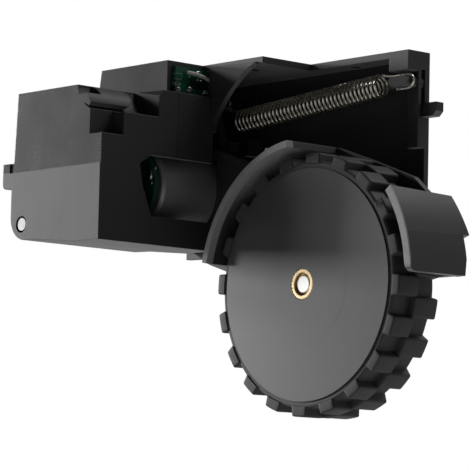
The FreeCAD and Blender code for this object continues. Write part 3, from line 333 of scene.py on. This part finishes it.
roundLines = (14.0, 1.0)
metals = {
    "brightSteel": {"colour": grey(0.72), "dark": grey(0.30), "roughness": 0.26},
    "axleSteel": {"colour": grey(0.90), "dark": grey(0.66), "roughness": 0.36, "line": roundLines,
                  "tarnish": 0.2},
    "pinSteel": {"colour": grey(0.30), "dark": grey(0.14), "roughness": 0.42, "line": roundLines,
                 "tarnish": 0.5},
    "springWire": {"colour": (0.92, 0.88, 0.78, 1.0), "dark": (0.60, 0.55, 0.46, 1.0), "roughness": 0.22},
    "brass": {"colour": (0.88, 0.68, 0.40, 1.0), "dark": (0.62, 0.42, 0.20, 1.0), "roughness": 0.38},
    "sinteredBronze": {"colour": (0.45, 0.28, 0.15, 1.0), "dark": (0.20, 0.12, 0.07, 1.0), "roughness": 0.5},
    "solder": {"colour": grey(0.74), "dark": (0.40, 0.37, 0.32, 1.0), "roughness": 0.24},
    "goldContact": {"colour": (0.85, 0.62, 0.28, 1.0), "dark": (0.50, 0.34, 0.14, 1.0), "roughness": 0.28},
    "magnet": {"colour": grey(0.22), "dark": grey(0.09), "roughness": 0.5},
}
metal = {
    "edgeRadius": 0.1, "lines": (0.35, 2.0, 0.6), "patch": (2.2, 4.0, 0.6), "pits": (0.5, 2.0, 0.5),
    "patchSteps": (0.35, 0.75), "pitSteps": (0.68, 0.76), "pitShare": 0.3, "edgeShare": 0.3, "edgeGrey": 0.9,
    "lineRough": 0.16, "patchRough": 0.08, "pitRough": 0.15, "pitHeight": -0.6, "bump": 0.25, "depth": 0.02,
}


def turnedMetal(name, colour, dark, roughness, line=(1.0, 1.0), tarnish=0.4):
    # bare or plated metal: fine tool lines, tarnish in patches, brighter rubbed edges
    finish = Finish(name)
    soft = finish.edgeNormal(metal["edgeRadius"])
    edge = finish.edgeMask(soft)
    lines = finish.noise(*metal["lines"], finish.stretched(*line))
    patch = finish.noise(*metal["patch"])
    pits = finish.noise(*metal["pits"]).step(*metal["pitSteps"])
    base = finish.mix(patch.step(*metal["patchSteps"]) * tarnish, colour, dark)
    base = finish.mix(pits * metal["pitShare"], base, dark)
    base = finish.mix(edge * metal["edgeShare"], base, grey(metal["edgeGrey"]))
    rough = (roughness + lines.spread(metal["lineRough"]) + patch * metal["patchRough"]
             + pits * metal["pitRough"])
    normal = finish.bump(lines + pits * metal["pitHeight"], metal["bump"], metal["depth"], soft)
    return finish.shader(base, rough, normal, {"Metallic": 1.0})


# Motor can

can = {
    "dark": tinted(0.36, 1.0, 1.05), "pale": tinted(0.50, 1.0, 1.0), "metallic": 0.6, "roughness": 0.46,
    "edgeRadius": 0.2, "lines": (0.5, 2.0, 0.5), "lineStretch": (12.0, 1.0), "patch": (4.0, 4.0, 0.6),
    "spots": (0.7, 4.0, 0.7), "spotSteps": (0.6, 0.7), "fields": (4.5, 1.0, 0.4), "fieldSteps": (0.52, 0.62),
    "edgeShare": 0.8, "edgeGrey": 0.62, "spotShare": 0.6, "spotGrey": 0.55, "lineRough": 0.14,
    "patchRough": 0.12, "spotHeight": 0.4, "bump": 0.3, "depth": 0.015,
}


def canMetal():
    # the motor's blackened steel can: soft sheen, drawn lines round it, faint rubbed spots
    finish = Finish("motorCan")
    soft = finish.edgeNormal(can["edgeRadius"])
    edge = finish.edgeMask(soft)
    lines = finish.noise(*can["lines"], finish.stretched(*can["lineStretch"]))
    patch = finish.noise(*can["patch"])
    spots = finish.noise(*can["spots"]).step(*can["spotSteps"])
    spots = spots * finish.noise(*can["fields"]).step(*can["fieldSteps"])
    base = finish.mix(patch, can["dark"], can["pale"])
    # painted highlight: the can's edges are made pale as bright edge lines
    base = finish.mix(edge * can["edgeShare"], base, grey(can["edgeGrey"]))
    base = finish.mix(spots * can["spotShare"], base, grey(can["spotGrey"]))
    rough = can["roughness"] + lines.spread(can["lineRough"]) + patch.spread(can["patchRough"])
    normal = finish.bump(lines + spots * can["spotHeight"], can["bump"], can["depth"], soft)
    return finish.shader(base, rough, normal, {"Metallic": can["metallic"]})


# Circuit boards, with the dark patch's and the print's fields as left, right, low and high

board = {
    "lacquer": (0.006, 0.098, 0.052, 1.0), "shade": (0.004, 0.055, 0.030, 1.0),
    "ink": (0.42, 0.46, 0.40, 1.0), "fluxColour": (0.05, 0.11, 0.05, 1.0),
    "weaveColour": (0.004, 0.04, 0.024, 1.0),
    "darkColour": (0.004, 0.012, 0.008, 1.0), "weave": (0.45, 1.0, 0.3), "weaveStretch": (1.0, 3.0),
    "field": (2.4, 1.0, 0.3), "fieldSteps": (0.46, 0.5), "flux": (2.0, 3.0, 0.6), "fluxSteps": (0.6, 0.8),
    "fluxShare": 0.35, "weaveShare": 0.2, "roughness": 0.28, "weaveRough": 0.1, "fluxRough": 0.25,
    "weaveHeight": 0.4, "bump": 0.3, "depth": 0.02,
    "dark": (10.6, 17.8, 61.2, 64.4), "darkSoft": 0.2, "darkShare": 0.94, "wobble": (1.6, 3.0, 0.6),
    "wobbleReach": 1.2,
    "box": (4.4, 7.6, 63.4, 65.2), "line": 0.16, "lineSoft": 0.05, "boxShare": 0.55,
    "letters": (4.6, 7.4, 61.4, 62.9), "letterMarks": (0.5, 0.0, 0.0), "letterStretch": (1.0, 0.4),
    "letterSteps": (0.52, 0.56), "letterShare": 0.45,
}


def boardPatchAndPrint(finish, base):
    # a soft-edged dark patch, the printed frame and a row of small marks on the connector board
    across, up = finish.along("Y"), finish.along("Z")
    left, right, low, high = board["dark"]
    wobble = finish.noise(*board["wobble"]) * board["wobbleReach"] - board["wobbleReach"] / 2
    dark = (across + wobble).within(left, right, board["darkSoft"])
    dark = dark * (up + wobble).within(low, high, board["darkSoft"])
    base = finish.mix(dark * board["darkShare"], base, board["darkColour"])
    left, right, low, high = board["box"]
    line, soft = board["line"], board["lineSoft"]
    outer = across.within(left, right, soft) * up.within(low, high, soft)
    inner = across.within(left + line, right - line, soft) * up.within(low + line, high - line, soft)
    left, right, low, high = board["letters"]
    letters = finish.noise(*board["letterMarks"], finish.stretched(*board["letterStretch"]))
    letters = letters.step(*board["letterSteps"]) * across.within(left, right) * up.within(low, high)
    printed = (outer - inner) * board["boxShare"] + letters * board["letterShare"]
    return finish.mix(printed.clamped(), base, board["ink"])


def boardLacquer(name, printed):
    # green lacquer over copper: darker and lighter fields, weave showing through, flux marks, a dark patch
    # and print
    finish = Finish(name)
    weave = finish.noise(*board["weave"], finish.stretched(*board["weaveStretch"]))
    field = finish.noise(*board["field"]).step(*board["fieldSteps"])
    flux = finish.noise(*board["flux"]).step(*board["fluxSteps"])
    base = finish.mix(field, board["shade"], board["lacquer"])
    base = finish.mix(flux * board["fluxShare"], base, board["fluxColour"])
    base = finish.mix(weave * board["weaveShare"], base, board["weaveColour"])
    if printed:
        base = boardPatchAndPrint(finish, base)
    rough = board["roughness"] + weave.spread(board["weaveRough"]) + flux * board["fluxRough"]
    normal = finish.bump(weave * board["weaveHeight"] + field, board["bump"], board["depth"])
    return finish.shader(base, rough, normal)


# Leads' skins

skins = {
    "whiteLead": {"colour": (0.60, 0.58, 0.53, 1.0), "shade": (0.47, 0.45, 0.40, 1.0)},
    "redLead": {"colour": (0.42, 0.20, 0.16, 1.0), "shade": (0.30, 0.13, 0.10, 1.0)},
}
skin = {
    "roughness": 0.45, "mottle": (1.2, 3.0, 0.6), "grime": (3.0, 4.0, 0.6), "grimeSteps": (0.5, 0.8),
    "grimeShare": 0.4, "grimeColour": tinted(0.05, 1.1, 0.85), "mottleRough": 0.15, "grimeRough": 0.15,
    "bump": 0.3, "depth": 0.02,
}


def wireSkin(name, colour, shade):
    finish = Finish(name)
    mottle = finish.noise(*skin["mottle"])
    grime = finish.noise(*skin["grime"]).step(*skin["grimeSteps"])
    base = finish.mix(mottle, colour, shade)
    base = finish.mix(grime * skin["grimeShare"], base, skin["grimeColour"])
    rough = skin["roughness"] + mottle.spread(skin["mottleRough"]) + grime * skin["grimeRough"]
    return finish.shader(base, rough, finish.bump(mottle, skin["bump"], skin["depth"]))


# Gears

gear = {
    "shade": (0.55, 0.53, 0.47, 1.0), "pale": (0.66, 0.64, 0.58, 1.0),
    "greaseColour": (0.34, 0.32, 0.26, 1.0),
    "roughness": 0.42, "edgeRadius": 0.12, "mottle": (1.6, 3.0, 0.6), "grease": (2.6, 3.0, 0.5),
    "greaseSteps": (0.5, 0.7), "greaseShare": 0.5, "mottleRough": 0.1, "greaseRough": 0.2,
    "bump": 0.3, "depth": 0.03,
}


def gearPlastic():
    # natural-coloured plastic with smears of grease
    finish = Finish("gearPlastic")
    mottle = finish.noise(*gear["mottle"])
    grease = finish.noise(*gear["grease"]).step(*gear["greaseSteps"])
    base = finish.mix(mottle, gear["shade"], gear["pale"])
    base = finish.mix(grease * gear["greaseShare"], base, gear["greaseColour"])
    rough = gear["roughness"] + mottle.spread(gear["mottleRough"]) - grease * gear["greaseRough"]
    normal = finish.bump(mottle + grease, gear["bump"], gear["depth"], finish.edgeNormal(gear["edgeRadius"]))
    return finish.shader(base, rough, normal)


# Finishes on the CAD nodes

finishes = {"wheelDisc": discPlastic(), "motorCan": canMetal(), "gearPlastic": gearPlastic(),
            "boardLacquer": boardLacquer("boardLacquer", True),
            "encoderLacquer": boardLacquer("encoderLacquer", False)}
for recipe, values in ((mouldedPlastic, plastics), (treadRubber, rubbers), (turnedMetal, metals),
                       (wireSkin, skins)):
    for name, settings in values.items():
        finishes[name] = recipe(name, **settings)

finishNodes = {
    "housingPlastic": ["frame_housing"],
    "casePlastic": ["gear_case_outer", "gear_case_inner"],
    "socketPlastic": ["contact_block", "motor_end_cap"],
    "wheelDisc": ["wheel_rim"],
    "tyreRubber": ["tyre"],
    "padRubber": ["stop_pad"],
    "brightSteel": ["pivot_clip", "case_screws", "motor_screws", "first_gear_pin", "second_gear_pin",
                    "third_gear_pin", "motor_shaft", "axle_clip"],
    "axleSteel": ["axle_shaft"],
    "pinSteel": ["pivot_pin"],
    "springWire": ["return_spring"],
    "brass": ["drive_pinion", "hub_insert"],
    "sinteredBronze": ["bush_outer", "bush_inner"],
    "solder": ["solder_joints"],
    "goldContact": ["contact_pins"],
    "magnet": ["encoder_disc"],
    "motorCan": ["motor_can"],
    "boardLacquer": ["connector_board"],
    "encoderLacquer": ["encoder_board"],
    "whiteLead": ["lead_white"],
    "redLead": ["lead_red"],
    "gearPlastic": ["first_gear", "second_gear", "third_gear", "output_gear"],
}
for finishName, names in finishNodes.items():
    for name in names:
        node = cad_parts[name]
        node.data.materials.clear()
        node.data.materials.append(finishes[finishName])
print("finishes on", sum(len(names) for names in finishNodes.values()), "nodes")


# Mesh helpers

def newPiece(name, mesh, finishName, smooth):
    # smooth is the angle in degrees up to which an edge shades soft
    piece = bpy.data.objects.new(name, mesh)
    bpy.context.scene.collection.objects.link(piece)
    mesh.materials.append(finishes[finishName])
    for polygon in mesh.polygons:
        polygon.use_smooth = True
    mesh.set_sharp_from_angle(angle=math.radians(smooth))
    return piece


def meshOf(form, name):
    bmesh.ops.recalc_face_normals(form, faces=form.faces)
    mesh = bpy.data.meshes.new(name)
    form.to_mesh(mesh)
    form.free()
    return mesh


def joinRings(form, rings, closed=False):
    # faces from each ring of corners to the next, and back to the first if closed
    following = rings[1:] + rings[:1] if closed else rings[1:]
    for first, second in zip(rings, following):
        for step in range(len(first)):
            beside = (step + 1) % len(first)
            form.faces.new((first[step], first[beside], second[beside], second[step]))


def sweptTube(points, radius, sides, name):
    # a round wire along a list of points, its frame carried on from point to point
    form = bmesh.new()
    rings = []
    side = None
    for index, point in enumerate(points):
        ahead = points[min(index + 1, len(points) - 1)] - points[max(index - 1, 0)]
        ahead.normalize()
        if side is None:
            side = ahead.orthogonal()
        side = (side - ahead * side.dot(ahead)).normalized()
        other = ahead.cross(side)
        ring = []
        for step in range(sides):
            angle = 2 * math.pi * step / sides
            ring.append(form.verts.new(point + (side * math.cos(angle) + other * math.sin(angle)) * radius))
        rings.append(ring)
    joinRings(form, rings)
    form.faces.new(rings[0])
    form.faces.new(rings[-1])
    return meshOf(form, name)


def smoothPath(points, steps):
    # a smooth curve through given points
    path = []
    padded = [points[0]] + points + [points[-1]]
    for a, b, c, d in zip(padded, padded[1:], padded[2:], padded[3:]):
        for step in range(steps):
            t = step / steps
            path.append(0.5 * (2 * b + (c - a) * t + (2 * a - 5 * b + 4 * c - d) * t ** 2
                               + (3 * b - a - 3 * c + d) * t ** 3))
    path.append(points[-1])
    return path


# Return spring; a hook's turn is its first angle, degrees per step and number of points

spring = {
    "y": 37.6, "left": (-68.5, 55.3), "right": (-8.0, 59.9), "radius": 3.1, "wire": 0.42, "sides": 8,
    "turns": 37, "stepsPerTurn": 20, "firstStep": 3, "lastStep": 2, "hookSteps": 4, "smooth": 60.0,
    "armHook": (-75.3, 61.2), "armHookRadius": 1.98, "armHookTurn": (-20.0, 27.7, 12),
    "entryBack": 1.1, "entryOut": 0.5, "entryIn": 0.3,
    "frameHook": (1.9, 60.2), "frameHookRadius": 1.93, "frameHookTurn": (90.0, -25.7, 8),
    "frameHookLength": 4.9, "exitAlong": 0.9, "exitOut": 0.2, "exitUp": 2.6, "hookLead": 0.4,
    "hookTail": 0.6,
    "stretchStart": -70.0, "stretchEnd": -33.0,
}


def hookArc(centre, radius, turn):
    first, degrees, count = turn
    points = []
    for index in range(count):
        angle = math.radians(first + degrees * index)
        points.append(Vector((centre[0] + radius * math.cos(angle), spring["y"],
                              centre[1] + radius * math.sin(angle))))
    return points


def springPath():
    y, radius = spring["y"], spring["radius"]
    start = Vector((spring["left"][0], y, spring["left"][1]))
    end = Vector((spring["right"][0], y, spring["right"][1]))
    along = (end - start).normalized()
    inward = Vector((0, 1, 0))
    upward = inward.cross(along) * -1
    points = hookArc(spring["armHook"], spring["armHookRadius"], spring["armHookTurn"])
    points.append(start + upward * radius - along * spring["entryBack"] - inward * spring["entryOut"])
    points.append(start + upward * radius + inward * spring["entryIn"])
    entry = smoothPath(points, spring["hookSteps"])
    coil = []
    count = spring["turns"] * spring["stepsPerTurn"]
    for index in range(spring["firstStep"], count - spring["lastStep"]):
        angle = 2 * math.pi * index / spring["stepsPerTurn"]
        centre = start.lerp(end, index / count)
        coil.append(centre + (upward * math.cos(angle) + inward * math.sin(angle)) * radius)
    loop = spring["frameHookRadius"]
    hookX, hookZ = spring["frameHook"]
    nearX = hookX - spring["frameHookLength"]
    points = [end + upward * radius,
              Vector((end.x + spring["exitAlong"], y - spring["exitOut"], end.z + spring["exitUp"])),
              Vector((nearX - spring["hookLead"], y, hookZ + loop))]
    points += hookArc(spring["frameHook"], loop, spring["frameHookTurn"])
    points.append(Vector((nearX + spring["hookTail"], y, hookZ - loop)))
    leaving = smoothPath(points, spring["hookSteps"])
    return [place(*point) for point in entry + coil + leaving]


springMesh = sweptTube(springPath(), spring["wire"] * mm, spring["sides"], "springCoil")
springPiece = newPiece("springCoil", springMesh, "springWire", spring["smooth"])
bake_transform(springPiece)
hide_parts("return_spring")
print("spring wound")


# Motor leads

solderDepth = 0.3
boardFace = (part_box("connector_board")[1].x - wheelCentre.x) / mm
encoderFace = (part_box("encoder_board")[0].y - wheelCentre.y) / mm - solderDepth
leads = {
    "radius": 0.55, "sides": 12, "pathSteps": 8, "smooth": 60.0,
    "bendStart": (-61.0, 21.0, 55.0), "bendEnd": (-72.0, -3.0, 47.0),
    "white": [(boardFace + 0.3, 9.3, 65.7), (boardFace + 0.75, 10.2, 65.7), (boardFace + 1.3, 12.6, 65.3),
              (boardFace + 1.6, 15.8, 64.5), (boardFace + 2.0, 18.4, 63.1), (boardFace + 2.1, 19.8, 60.2),
              (boardFace + 1.2, 18.4, 56.5), (boardFace + 0.9, 18.0, 52.0), (boardFace + 0.3, 18.0, 49.6),
              (-62.8, 17.6, 48.8), (-65.0, 16.4, 48.6), (-67.5, 12.5, 48.9), (-70.0, 4.0, 48.4),
              (-71.6, -1.5, 47.4), (-72.4, -4.2, 45.2), (-72.4, -4.6, 42.6), (-72.4, -3.9, 41.2),
              (-72.4, encoderFace, 41.0)],
    "red": [(boardFace + 0.12, 18.9, 60.2), (boardFace + 0.75, 18.9, 60.2), (boardFace + 0.75, 20.3, 59.6),
            (boardFace + 0.4, 21.8, 57.6), (boardFace - 0.6, 21.7, 54.0), (-64.2, 20.4, 51.2),
            (-67.6, 14.5, 51.0), (-71.5, 6.0, 49.6), (-75.6, -0.5, 47.6), (-76.4, -4.2, 45.2),
            (-76.4, -4.6, 42.6), (-76.4, -3.9, 41.2), (-76.4, encoderFace, 41.0)],
}


def leadPiece(name, route, finishName, node):
    path = smoothPath([place(*point) for point in route], leads["pathSteps"])
    mesh = sweptTube(path, leads["radius"] * mm, leads["sides"], name)
    piece = newPiece(name, mesh, finishName, leads["smooth"])
    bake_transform(piece)
    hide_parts(node)


leadPiece("leadWhite", leads["white"], "whiteLead", "lead_white")
leadPiece("leadRed", leads["red"], "redLead", "lead_red")
print("leads laid")


# Tyre

tread = {
    "outerY": 1.5, "innerY": 16.2, "middleY": 8.25, "overlap": 0.4, "proud": 0.25,
    "tipRadius": 36.0, "baseRadius": 33.7, "seatRadius": 29.9, "sunk": 0.5,
    "lugs": 20, "firstAngle": -3.0, "lugShare": 0.5, "corner": 0.55, "cornerSteps": 3, "wrapCuts": 4,
    "flare": 0.35, "splay": 0.05, "seatIn": 0.1, "faceIn": 1.1, "shoulder": 0.8, "shoulderSteps": 6,
    "ringSteps": 160, "smooth": 40.0,
}
boxFaces = ((3, 2, 1, 0), (4, 5, 6, 7), (0, 1, 5, 4), (1, 2, 6, 5), (2, 3, 7, 6), (3, 0, 4, 7))


def treadBlock(form, startY, endY, degrees):
    # one rounded tread block, made flat and then wrapped round the wheel
    half = math.pi * tread["tipRadius"] / tread["lugs"] * tread["lugShare"]
    low, high = tread["baseRadius"] - tread["sunk"], tread["tipRadius"]
    block = bmesh.new()
    outline = ((-half, startY), (half, startY), (half, endY), (-half, endY))
    corners = [block.verts.new((across, along, up)) for up in (low, high) for across, along in outline]
    for face in boxFaces:
        block.faces.new([corners[index] for index in face])
    upper = [edge for edge in block.edges if max(vertex.co.z for vertex in edge.verts) > low + 0.01]
    bmesh.ops.bevel(block, geom=upper, offset=tread["corner"], segments=tread["cornerSteps"], profile=0.5,
                    affect="EDGES", clamp_overlap=True)
    wide = [edge for edge in block.edges if abs(edge.verts[0].co.x - edge.verts[1].co.x) > half]
    bmesh.ops.subdivide_edges(block, edges=wide, cuts=tread["wrapCuts"], use_grid_fill=True)
    middle = (startY + endY) / 2
    centre = math.radians(degrees)
    outermost, innermost = tread["outerY"] - tread["proud"], tread["innerY"] + tread["proud"]
    copies = {}
    for vertex in block.verts:
        sunk = (high - vertex.co.z) / (high - low)
        flare = 1 + tread["flare"] / half * sunk * sunk
        y = middle + (vertex.co.y - middle) * (1 + tread["splay"] * sunk)
        y = min(max(y, outermost), innermost)
        angle = centre + vertex.co.x * flare / tread["tipRadius"]
        spot = place(vertex.co.z * math.cos(angle), y, vertex.co.z * math.sin(angle))
        copies[vertex.index] = form.verts.new(spot)
    block.verts.ensure_lookup_table()
    for face in block.faces:
        form.faces.new([copies[vertex.index] for vertex in face.verts])
    block.free()


def treadBand(form):
    # the band under the blocks, with rounded shoulders
    outer, inner, base, seat = tread["outerY"], tread["innerY"], tread["baseRadius"], tread["seatRadius"]
    shoulder, steps = tread["shoulder"], tread["shoulderSteps"]
    turns = [math.radians(90 * step / steps) for step in range(steps + 1)]
    corner = base - shoulder
    outline = [(seat, outer + tread["seatIn"]), (base - tread["faceIn"], outer)]
    for turn in turns:
        outline.append((corner + shoulder * math.sin(turn), outer + shoulder - shoulder * math.cos(turn)))
    for turn in turns:
        outline.append((corner + shoulder * math.cos(turn), inner - shoulder + shoulder * math.sin(turn)))
    outline.append((seat, inner))
    rings = []
    for step in range(tread["ringSteps"]):
        angle = 2 * math.pi * step / tread["ringSteps"]
        rings.append([form.verts.new(place(radius * math.cos(angle), y, radius * math.sin(angle)))
                      for radius, y in outline])
    joinRings(form, rings, closed=True)


tyreForm = bmesh.new()
treadBand(tyreForm)
for index in range(tread["lugs"]):
    turn = tread["firstAngle"] + 360.0 / tread["lugs"] * index
    halfway = turn + 180.0 / tread["lugs"]
    treadBlock(tyreForm, tread["outerY"] - tread["proud"], tread["middleY"] + tread["overlap"], turn)
    treadBlock(tyreForm, tread["middleY"] - tread["overlap"], tread["innerY"] + tread["proud"], halfway)
tyrePiece = newPiece("tyreTread", meshOf(tyreForm, "tyreTread"), "tyreRubber", tread["smooth"])
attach(tyrePiece, "wheel")
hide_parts("tyre")
print("tyre moulded")


# Hub insert with its knurled rim

insert = {
    "bore": 2.5, "boreBevel": 0.25, "radius": 4.27, "length": 9.0, "mouth": 3.1, "mouthDepth": 1.2,
    "mouthStep": 0.1, "bevel": 0.14, "faceIn": 0.6, "knurls": 26, "knurlDepth": 0.3, "knurlSteps": 8,
    "knurlEnd": 0.2, "smooth": 30.0,
}


def hubInsert():
    # turned outline as radius, depth and the share of the knurl's cut, carried round the axle
    bore, mouth, radius, bevel = insert["bore"], insert["mouth"], insert["radius"], insert["bevel"]
    deep, length = insert["mouthDepth"], insert["length"]
    outline = [(bore, length, 0), (bore, deep + insert["boreBevel"], 0),
               (bore + insert["boreBevel"], deep, 0), (mouth, deep - insert["mouthStep"], 0),
               (mouth, bevel, 0), (mouth + bevel, 0.0, 0),
               (radius - insert["faceIn"], 0.0, 0), (radius - bevel, 0.0, 1), (radius, bevel, 1),
               (radius, deep, 1), (radius, deep + insert["knurlEnd"], 0), (radius, length, 0)]
    form = bmesh.new()
    rings = []
    count = insert["knurls"] * insert["knurlSteps"]
    for index in range(count):
        angle = 2 * math.pi * index / count
        notch = max(0.0, math.cos(angle * insert["knurls"])) ** 2 * insert["knurlDepth"]
        ring = []
        for reach, y, cut in outline:
            reach -= notch * cut
            ring.append(form.verts.new(place(reach * math.cos(angle), y, reach * math.sin(angle))))
        rings.append(ring)
    joinRings(form, rings, closed=True)
    return meshOf(form, "hubInsert")


insertPiece = newPiece("hubInsert", hubInsert(), "brass", insert["smooth"])
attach(insertPiece, "wheel")
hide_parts("hub_insert")


# Moulding mark, solder beads and the guard's nub, each bead as its centre and its sizes

marks = {
    "lug": (28.0, 1.24, 20.2), "lugRings": (1.15, 0.6), "lugCentre": (0.22, 0.12, 0.22), "ringWire": 0.1,
    "ringSteps": 20, "ringSides": 6, "beadSteps": 14, "beadLevels": 8, "lugSmooth": 50.0, "beadSmooth": 60.0,
    "encoder": [((-62.2, -2.45, 34.6), (0.95, 0.6, 1.6)), ((-61.6, -2.4, 32.4), (0.5, 0.35, 0.55)),
                ((-64.0, -2.4, 29.8), (0.28, 0.15, 0.28)), ((-59.9, -2.45, 36.6), (0.35, 0.25, 0.6))],
    "board": [((-60.9, 13.6, 66.2), (0.35, 0.8, 0.45)), ((-60.9, 13.5, 64.0), (0.3, 0.35, 0.25)),
              ((-60.9, 14.8, 63.9), (0.3, 0.45, 0.22)), ((-60.9, 10.4, 64.7), (0.25, 0.3, 0.3))],
    "guard": [((-13.5, -1.75, 37.8), (0.8, 0.22, 0.45))],
}


def ringMark(form, centre, radius):
    # a raised ring lying flat in the XZ plane
    wire, steps, sides = marks["ringWire"], marks["ringSteps"], marks["ringSides"]
    rings = []
    for index in range(steps):
        angle = 2 * math.pi * index / steps
        ring = []
        for side in range(sides):
            turn = 2 * math.pi * side / sides
            reach = radius + wire * math.cos(turn)
            spot = place(centre[0] + reach * math.cos(angle), centre[1] + wire * math.sin(turn),
                         centre[2] + reach * math.sin(angle))
            ring.append(form.verts.new(spot))
        rings.append(ring)
    joinRings(form, rings, closed=True)


def bead(form, centre, sizes):
    # a rounded drop with its own radius along each axis
    steps, levels = marks["beadSteps"], marks["beadLevels"]
    rings = []
    for level in range(1, levels):
        fall = math.pi * level / levels
        ring = []
        for step in range(steps):
            turn = 2 * math.pi * step / steps
            spot = place(centre[0] + sizes[0] * math.sin(fall) * math.cos(turn),
                         centre[1] + sizes[1] * math.sin(fall) * math.sin(turn),
                         centre[2] + sizes[2] * math.cos(fall))
            ring.append(form.verts.new(spot))
        rings.append(ring)
    joinRings(form, rings)
    for ring, side in ((rings[0], 1), (rings[-1], -1)):
        tip = form.verts.new(place(centre[0], centre[1], centre[2] + side * sizes[2]))
        for step in range(steps):
            form.faces.new((ring[step], ring[(step + 1) % steps], tip))


def beadPiece(name, beads, finishName, body):
    form = bmesh.new()
    for centre, sizes in beads:
        bead(form, centre, sizes)
    piece = newPiece(name, meshOf(form, name), finishName, marks["beadSmooth"])
    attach(piece, body)


markForm = bmesh.new()
for radius in marks["lugRings"]:
    ringMark(markForm, marks["lug"], radius)
bead(markForm, marks["lug"], marks["lugCentre"])
markPiece = newPiece("lugMark", meshOf(markForm, "lugMark"), "tyreRubber", marks["lugSmooth"])
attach(markPiece, "wheel")
beadPiece("encoderSolder", marks["encoder"], "solder", "arm")
beadPiece("boardSolder", marks["board"], "solder", "frame")
beadPiece("guardNub", marks["guard"], "casePlastic", "arm")
print("small marks set")


# Studio; a lamp's way is its degrees round from the left-hand side towards the viewer, and degrees up

studio = {
    "floorZ": -0.165, "floorSize": 6.0, "floorGrey": 0.84, "floorVaries": 0.015, "floorRoughness": 0.85,
    "floorRoughVaries": 0.1, "fibre": (1.5, 3.0, 0.6), "floorBump": 0.1, "floorDepth": 0.05,
    "aim": (-10.0, 0.0, 20.0), "distance": 2.4,
    "lamps": {"keyLight": {"way": (17.0, 7.0), "size": 0.30, "power": 32.5},
              "highLight": {"way": (22.0, 20.0), "size": 0.42, "power": 15.5},
              "backLight": {"way": (-120.0, 60.0), "size": 0.9, "power": 18.0}},
    "behind": (0.0, 1.0, -0.05), "behindSteps": (0.1, 0.7), "behindLevel": 0.34, "frontLevel": 0.012,
}


def studioFloor():
    form = bmesh.new()
    half = studio["floorSize"] / 2
    ring = []
    for degrees in range(0, 360, 5):
        angle = math.radians(degrees)
        ring.append(form.verts.new((half * math.cos(angle), half * math.sin(angle), studio["floorZ"])))
    form.faces.new(ring)
    mesh = meshOf(form, "floor")
    floor = bpy.data.objects.new("floor", mesh)
    bpy.context.scene.collection.objects.link(floor)
    finish = Finish("floorPaper")
    fibre = finish.noise(*studio["fibre"])
    low, high = studio["floorGrey"] - studio["floorVaries"], studio["floorGrey"] + studio["floorVaries"]
    base = finish.mix(fibre, grey(low), grey(high))
    rough = studio["floorRoughness"] + fibre.spread(studio["floorRoughVaries"])
    normal = finish.bump(fibre, studio["floorBump"], studio["floorDepth"])
    mesh.materials.append(finish.shader(base, rough, normal))


def softLight(name, way, size, power):
    turn, height = (math.radians(angle) for angle in way)
    level = math.cos(height)
    direction = Vector((-math.cos(turn) * level, -math.sin(turn) * level, math.sin(height)))
    lamp = bpy.data.lights.new(name, "AREA")
    lamp.energy = power
    lamp.shape = "SQUARE"
    lamp.size = size
    light = bpy.data.objects.new(name, lamp)
    aim = place(*studio["aim"])
    light.location = aim + direction.normalized() * studio["distance"]
    light.rotation_euler = (aim - light.location).to_track_quat("-Z", "Y").to_euler()
    bpy.context.scene.collection.objects.link(light)


def studioWorld():
    # white to the camera; the object itself sees a pale wall behind and a dim room in front
    world = bpy.data.worlds.new("studio")
    world.use_nodes = True
    tree = world.node_tree
    tree.nodes.clear()
    way = build(tree, "ShaderNodeTexCoord")
    sockets = {0: way, 1: studio["behind"]}
    facing = build(tree, "ShaderNodeVectorMath", {"operation": "DOT_PRODUCT"}, sockets, out=1)
    seen, through = (build(tree, "ShaderNodeLightPath", out=name)
                     for name in ("Is Camera Ray", "Is Transmission Ray"))
    front, behind, white = (build(tree, "ShaderNodeBackground", {}, {"Color": grey(1.0), "Strength": level})
                            for level in (studio["frontLevel"], studio["behindLevel"], 1.0))
    mask = facing.step(*studio["behindSteps"])
    room = build(tree, "ShaderNodeMixShader", {}, {0: mask, 1: front, 2: behind})
    shown = build(tree, "ShaderNodeMixShader", {}, {0: (seen + through).clamped(), 1: room, 2: white})
    build(tree, "ShaderNodeOutputWorld", {}, {"Surface": shown})
    bpy.context.scene.world = world


studioFloor()
for name, lamp in studio["lamps"].items():
    softLight(name, **lamp)
studioWorld()
print("studio lit")


# Camera, at the photo's angle

view = {"position": (0.6317, -0.5781, -0.1418), "yaw": 48.23, "pitch": 6.14, "roll": 1.274, "focal": 226.6,
        "sensor": 36.0}


def photoCamera():
    yaw, pitch, roll = (math.radians(view[name]) for name in ("yaw", "pitch", "roll"))
    ahead = Vector((-math.sin(yaw) * math.cos(pitch), math.cos(yaw) * math.cos(pitch), math.sin(pitch)))
    right = ahead.cross(Vector((0, 0, 1))).normalized()
    upward = right.cross(ahead)
    right, upward = (right * math.cos(roll) + upward * math.sin(roll),
                     upward * math.cos(roll) - right * math.sin(roll))
    camera = bpy.data.cameras.new("photoCamera")
    camera.lens = view["focal"]
    camera.sensor_width = view["sensor"]
    holder = bpy.data.objects.new("photoCamera", camera)
    turned = Matrix((right, upward, -ahead)).transposed().to_4x4()
    holder.matrix_world = Matrix.Translation(Vector(view["position"])) @ turned
    bpy.context.scene.collection.objects.link(holder)
    bpy.context.scene.camera = holder


photoCamera()
bpy.context.scene.view_settings.view_transform = "Standard"

print("pieces placed")
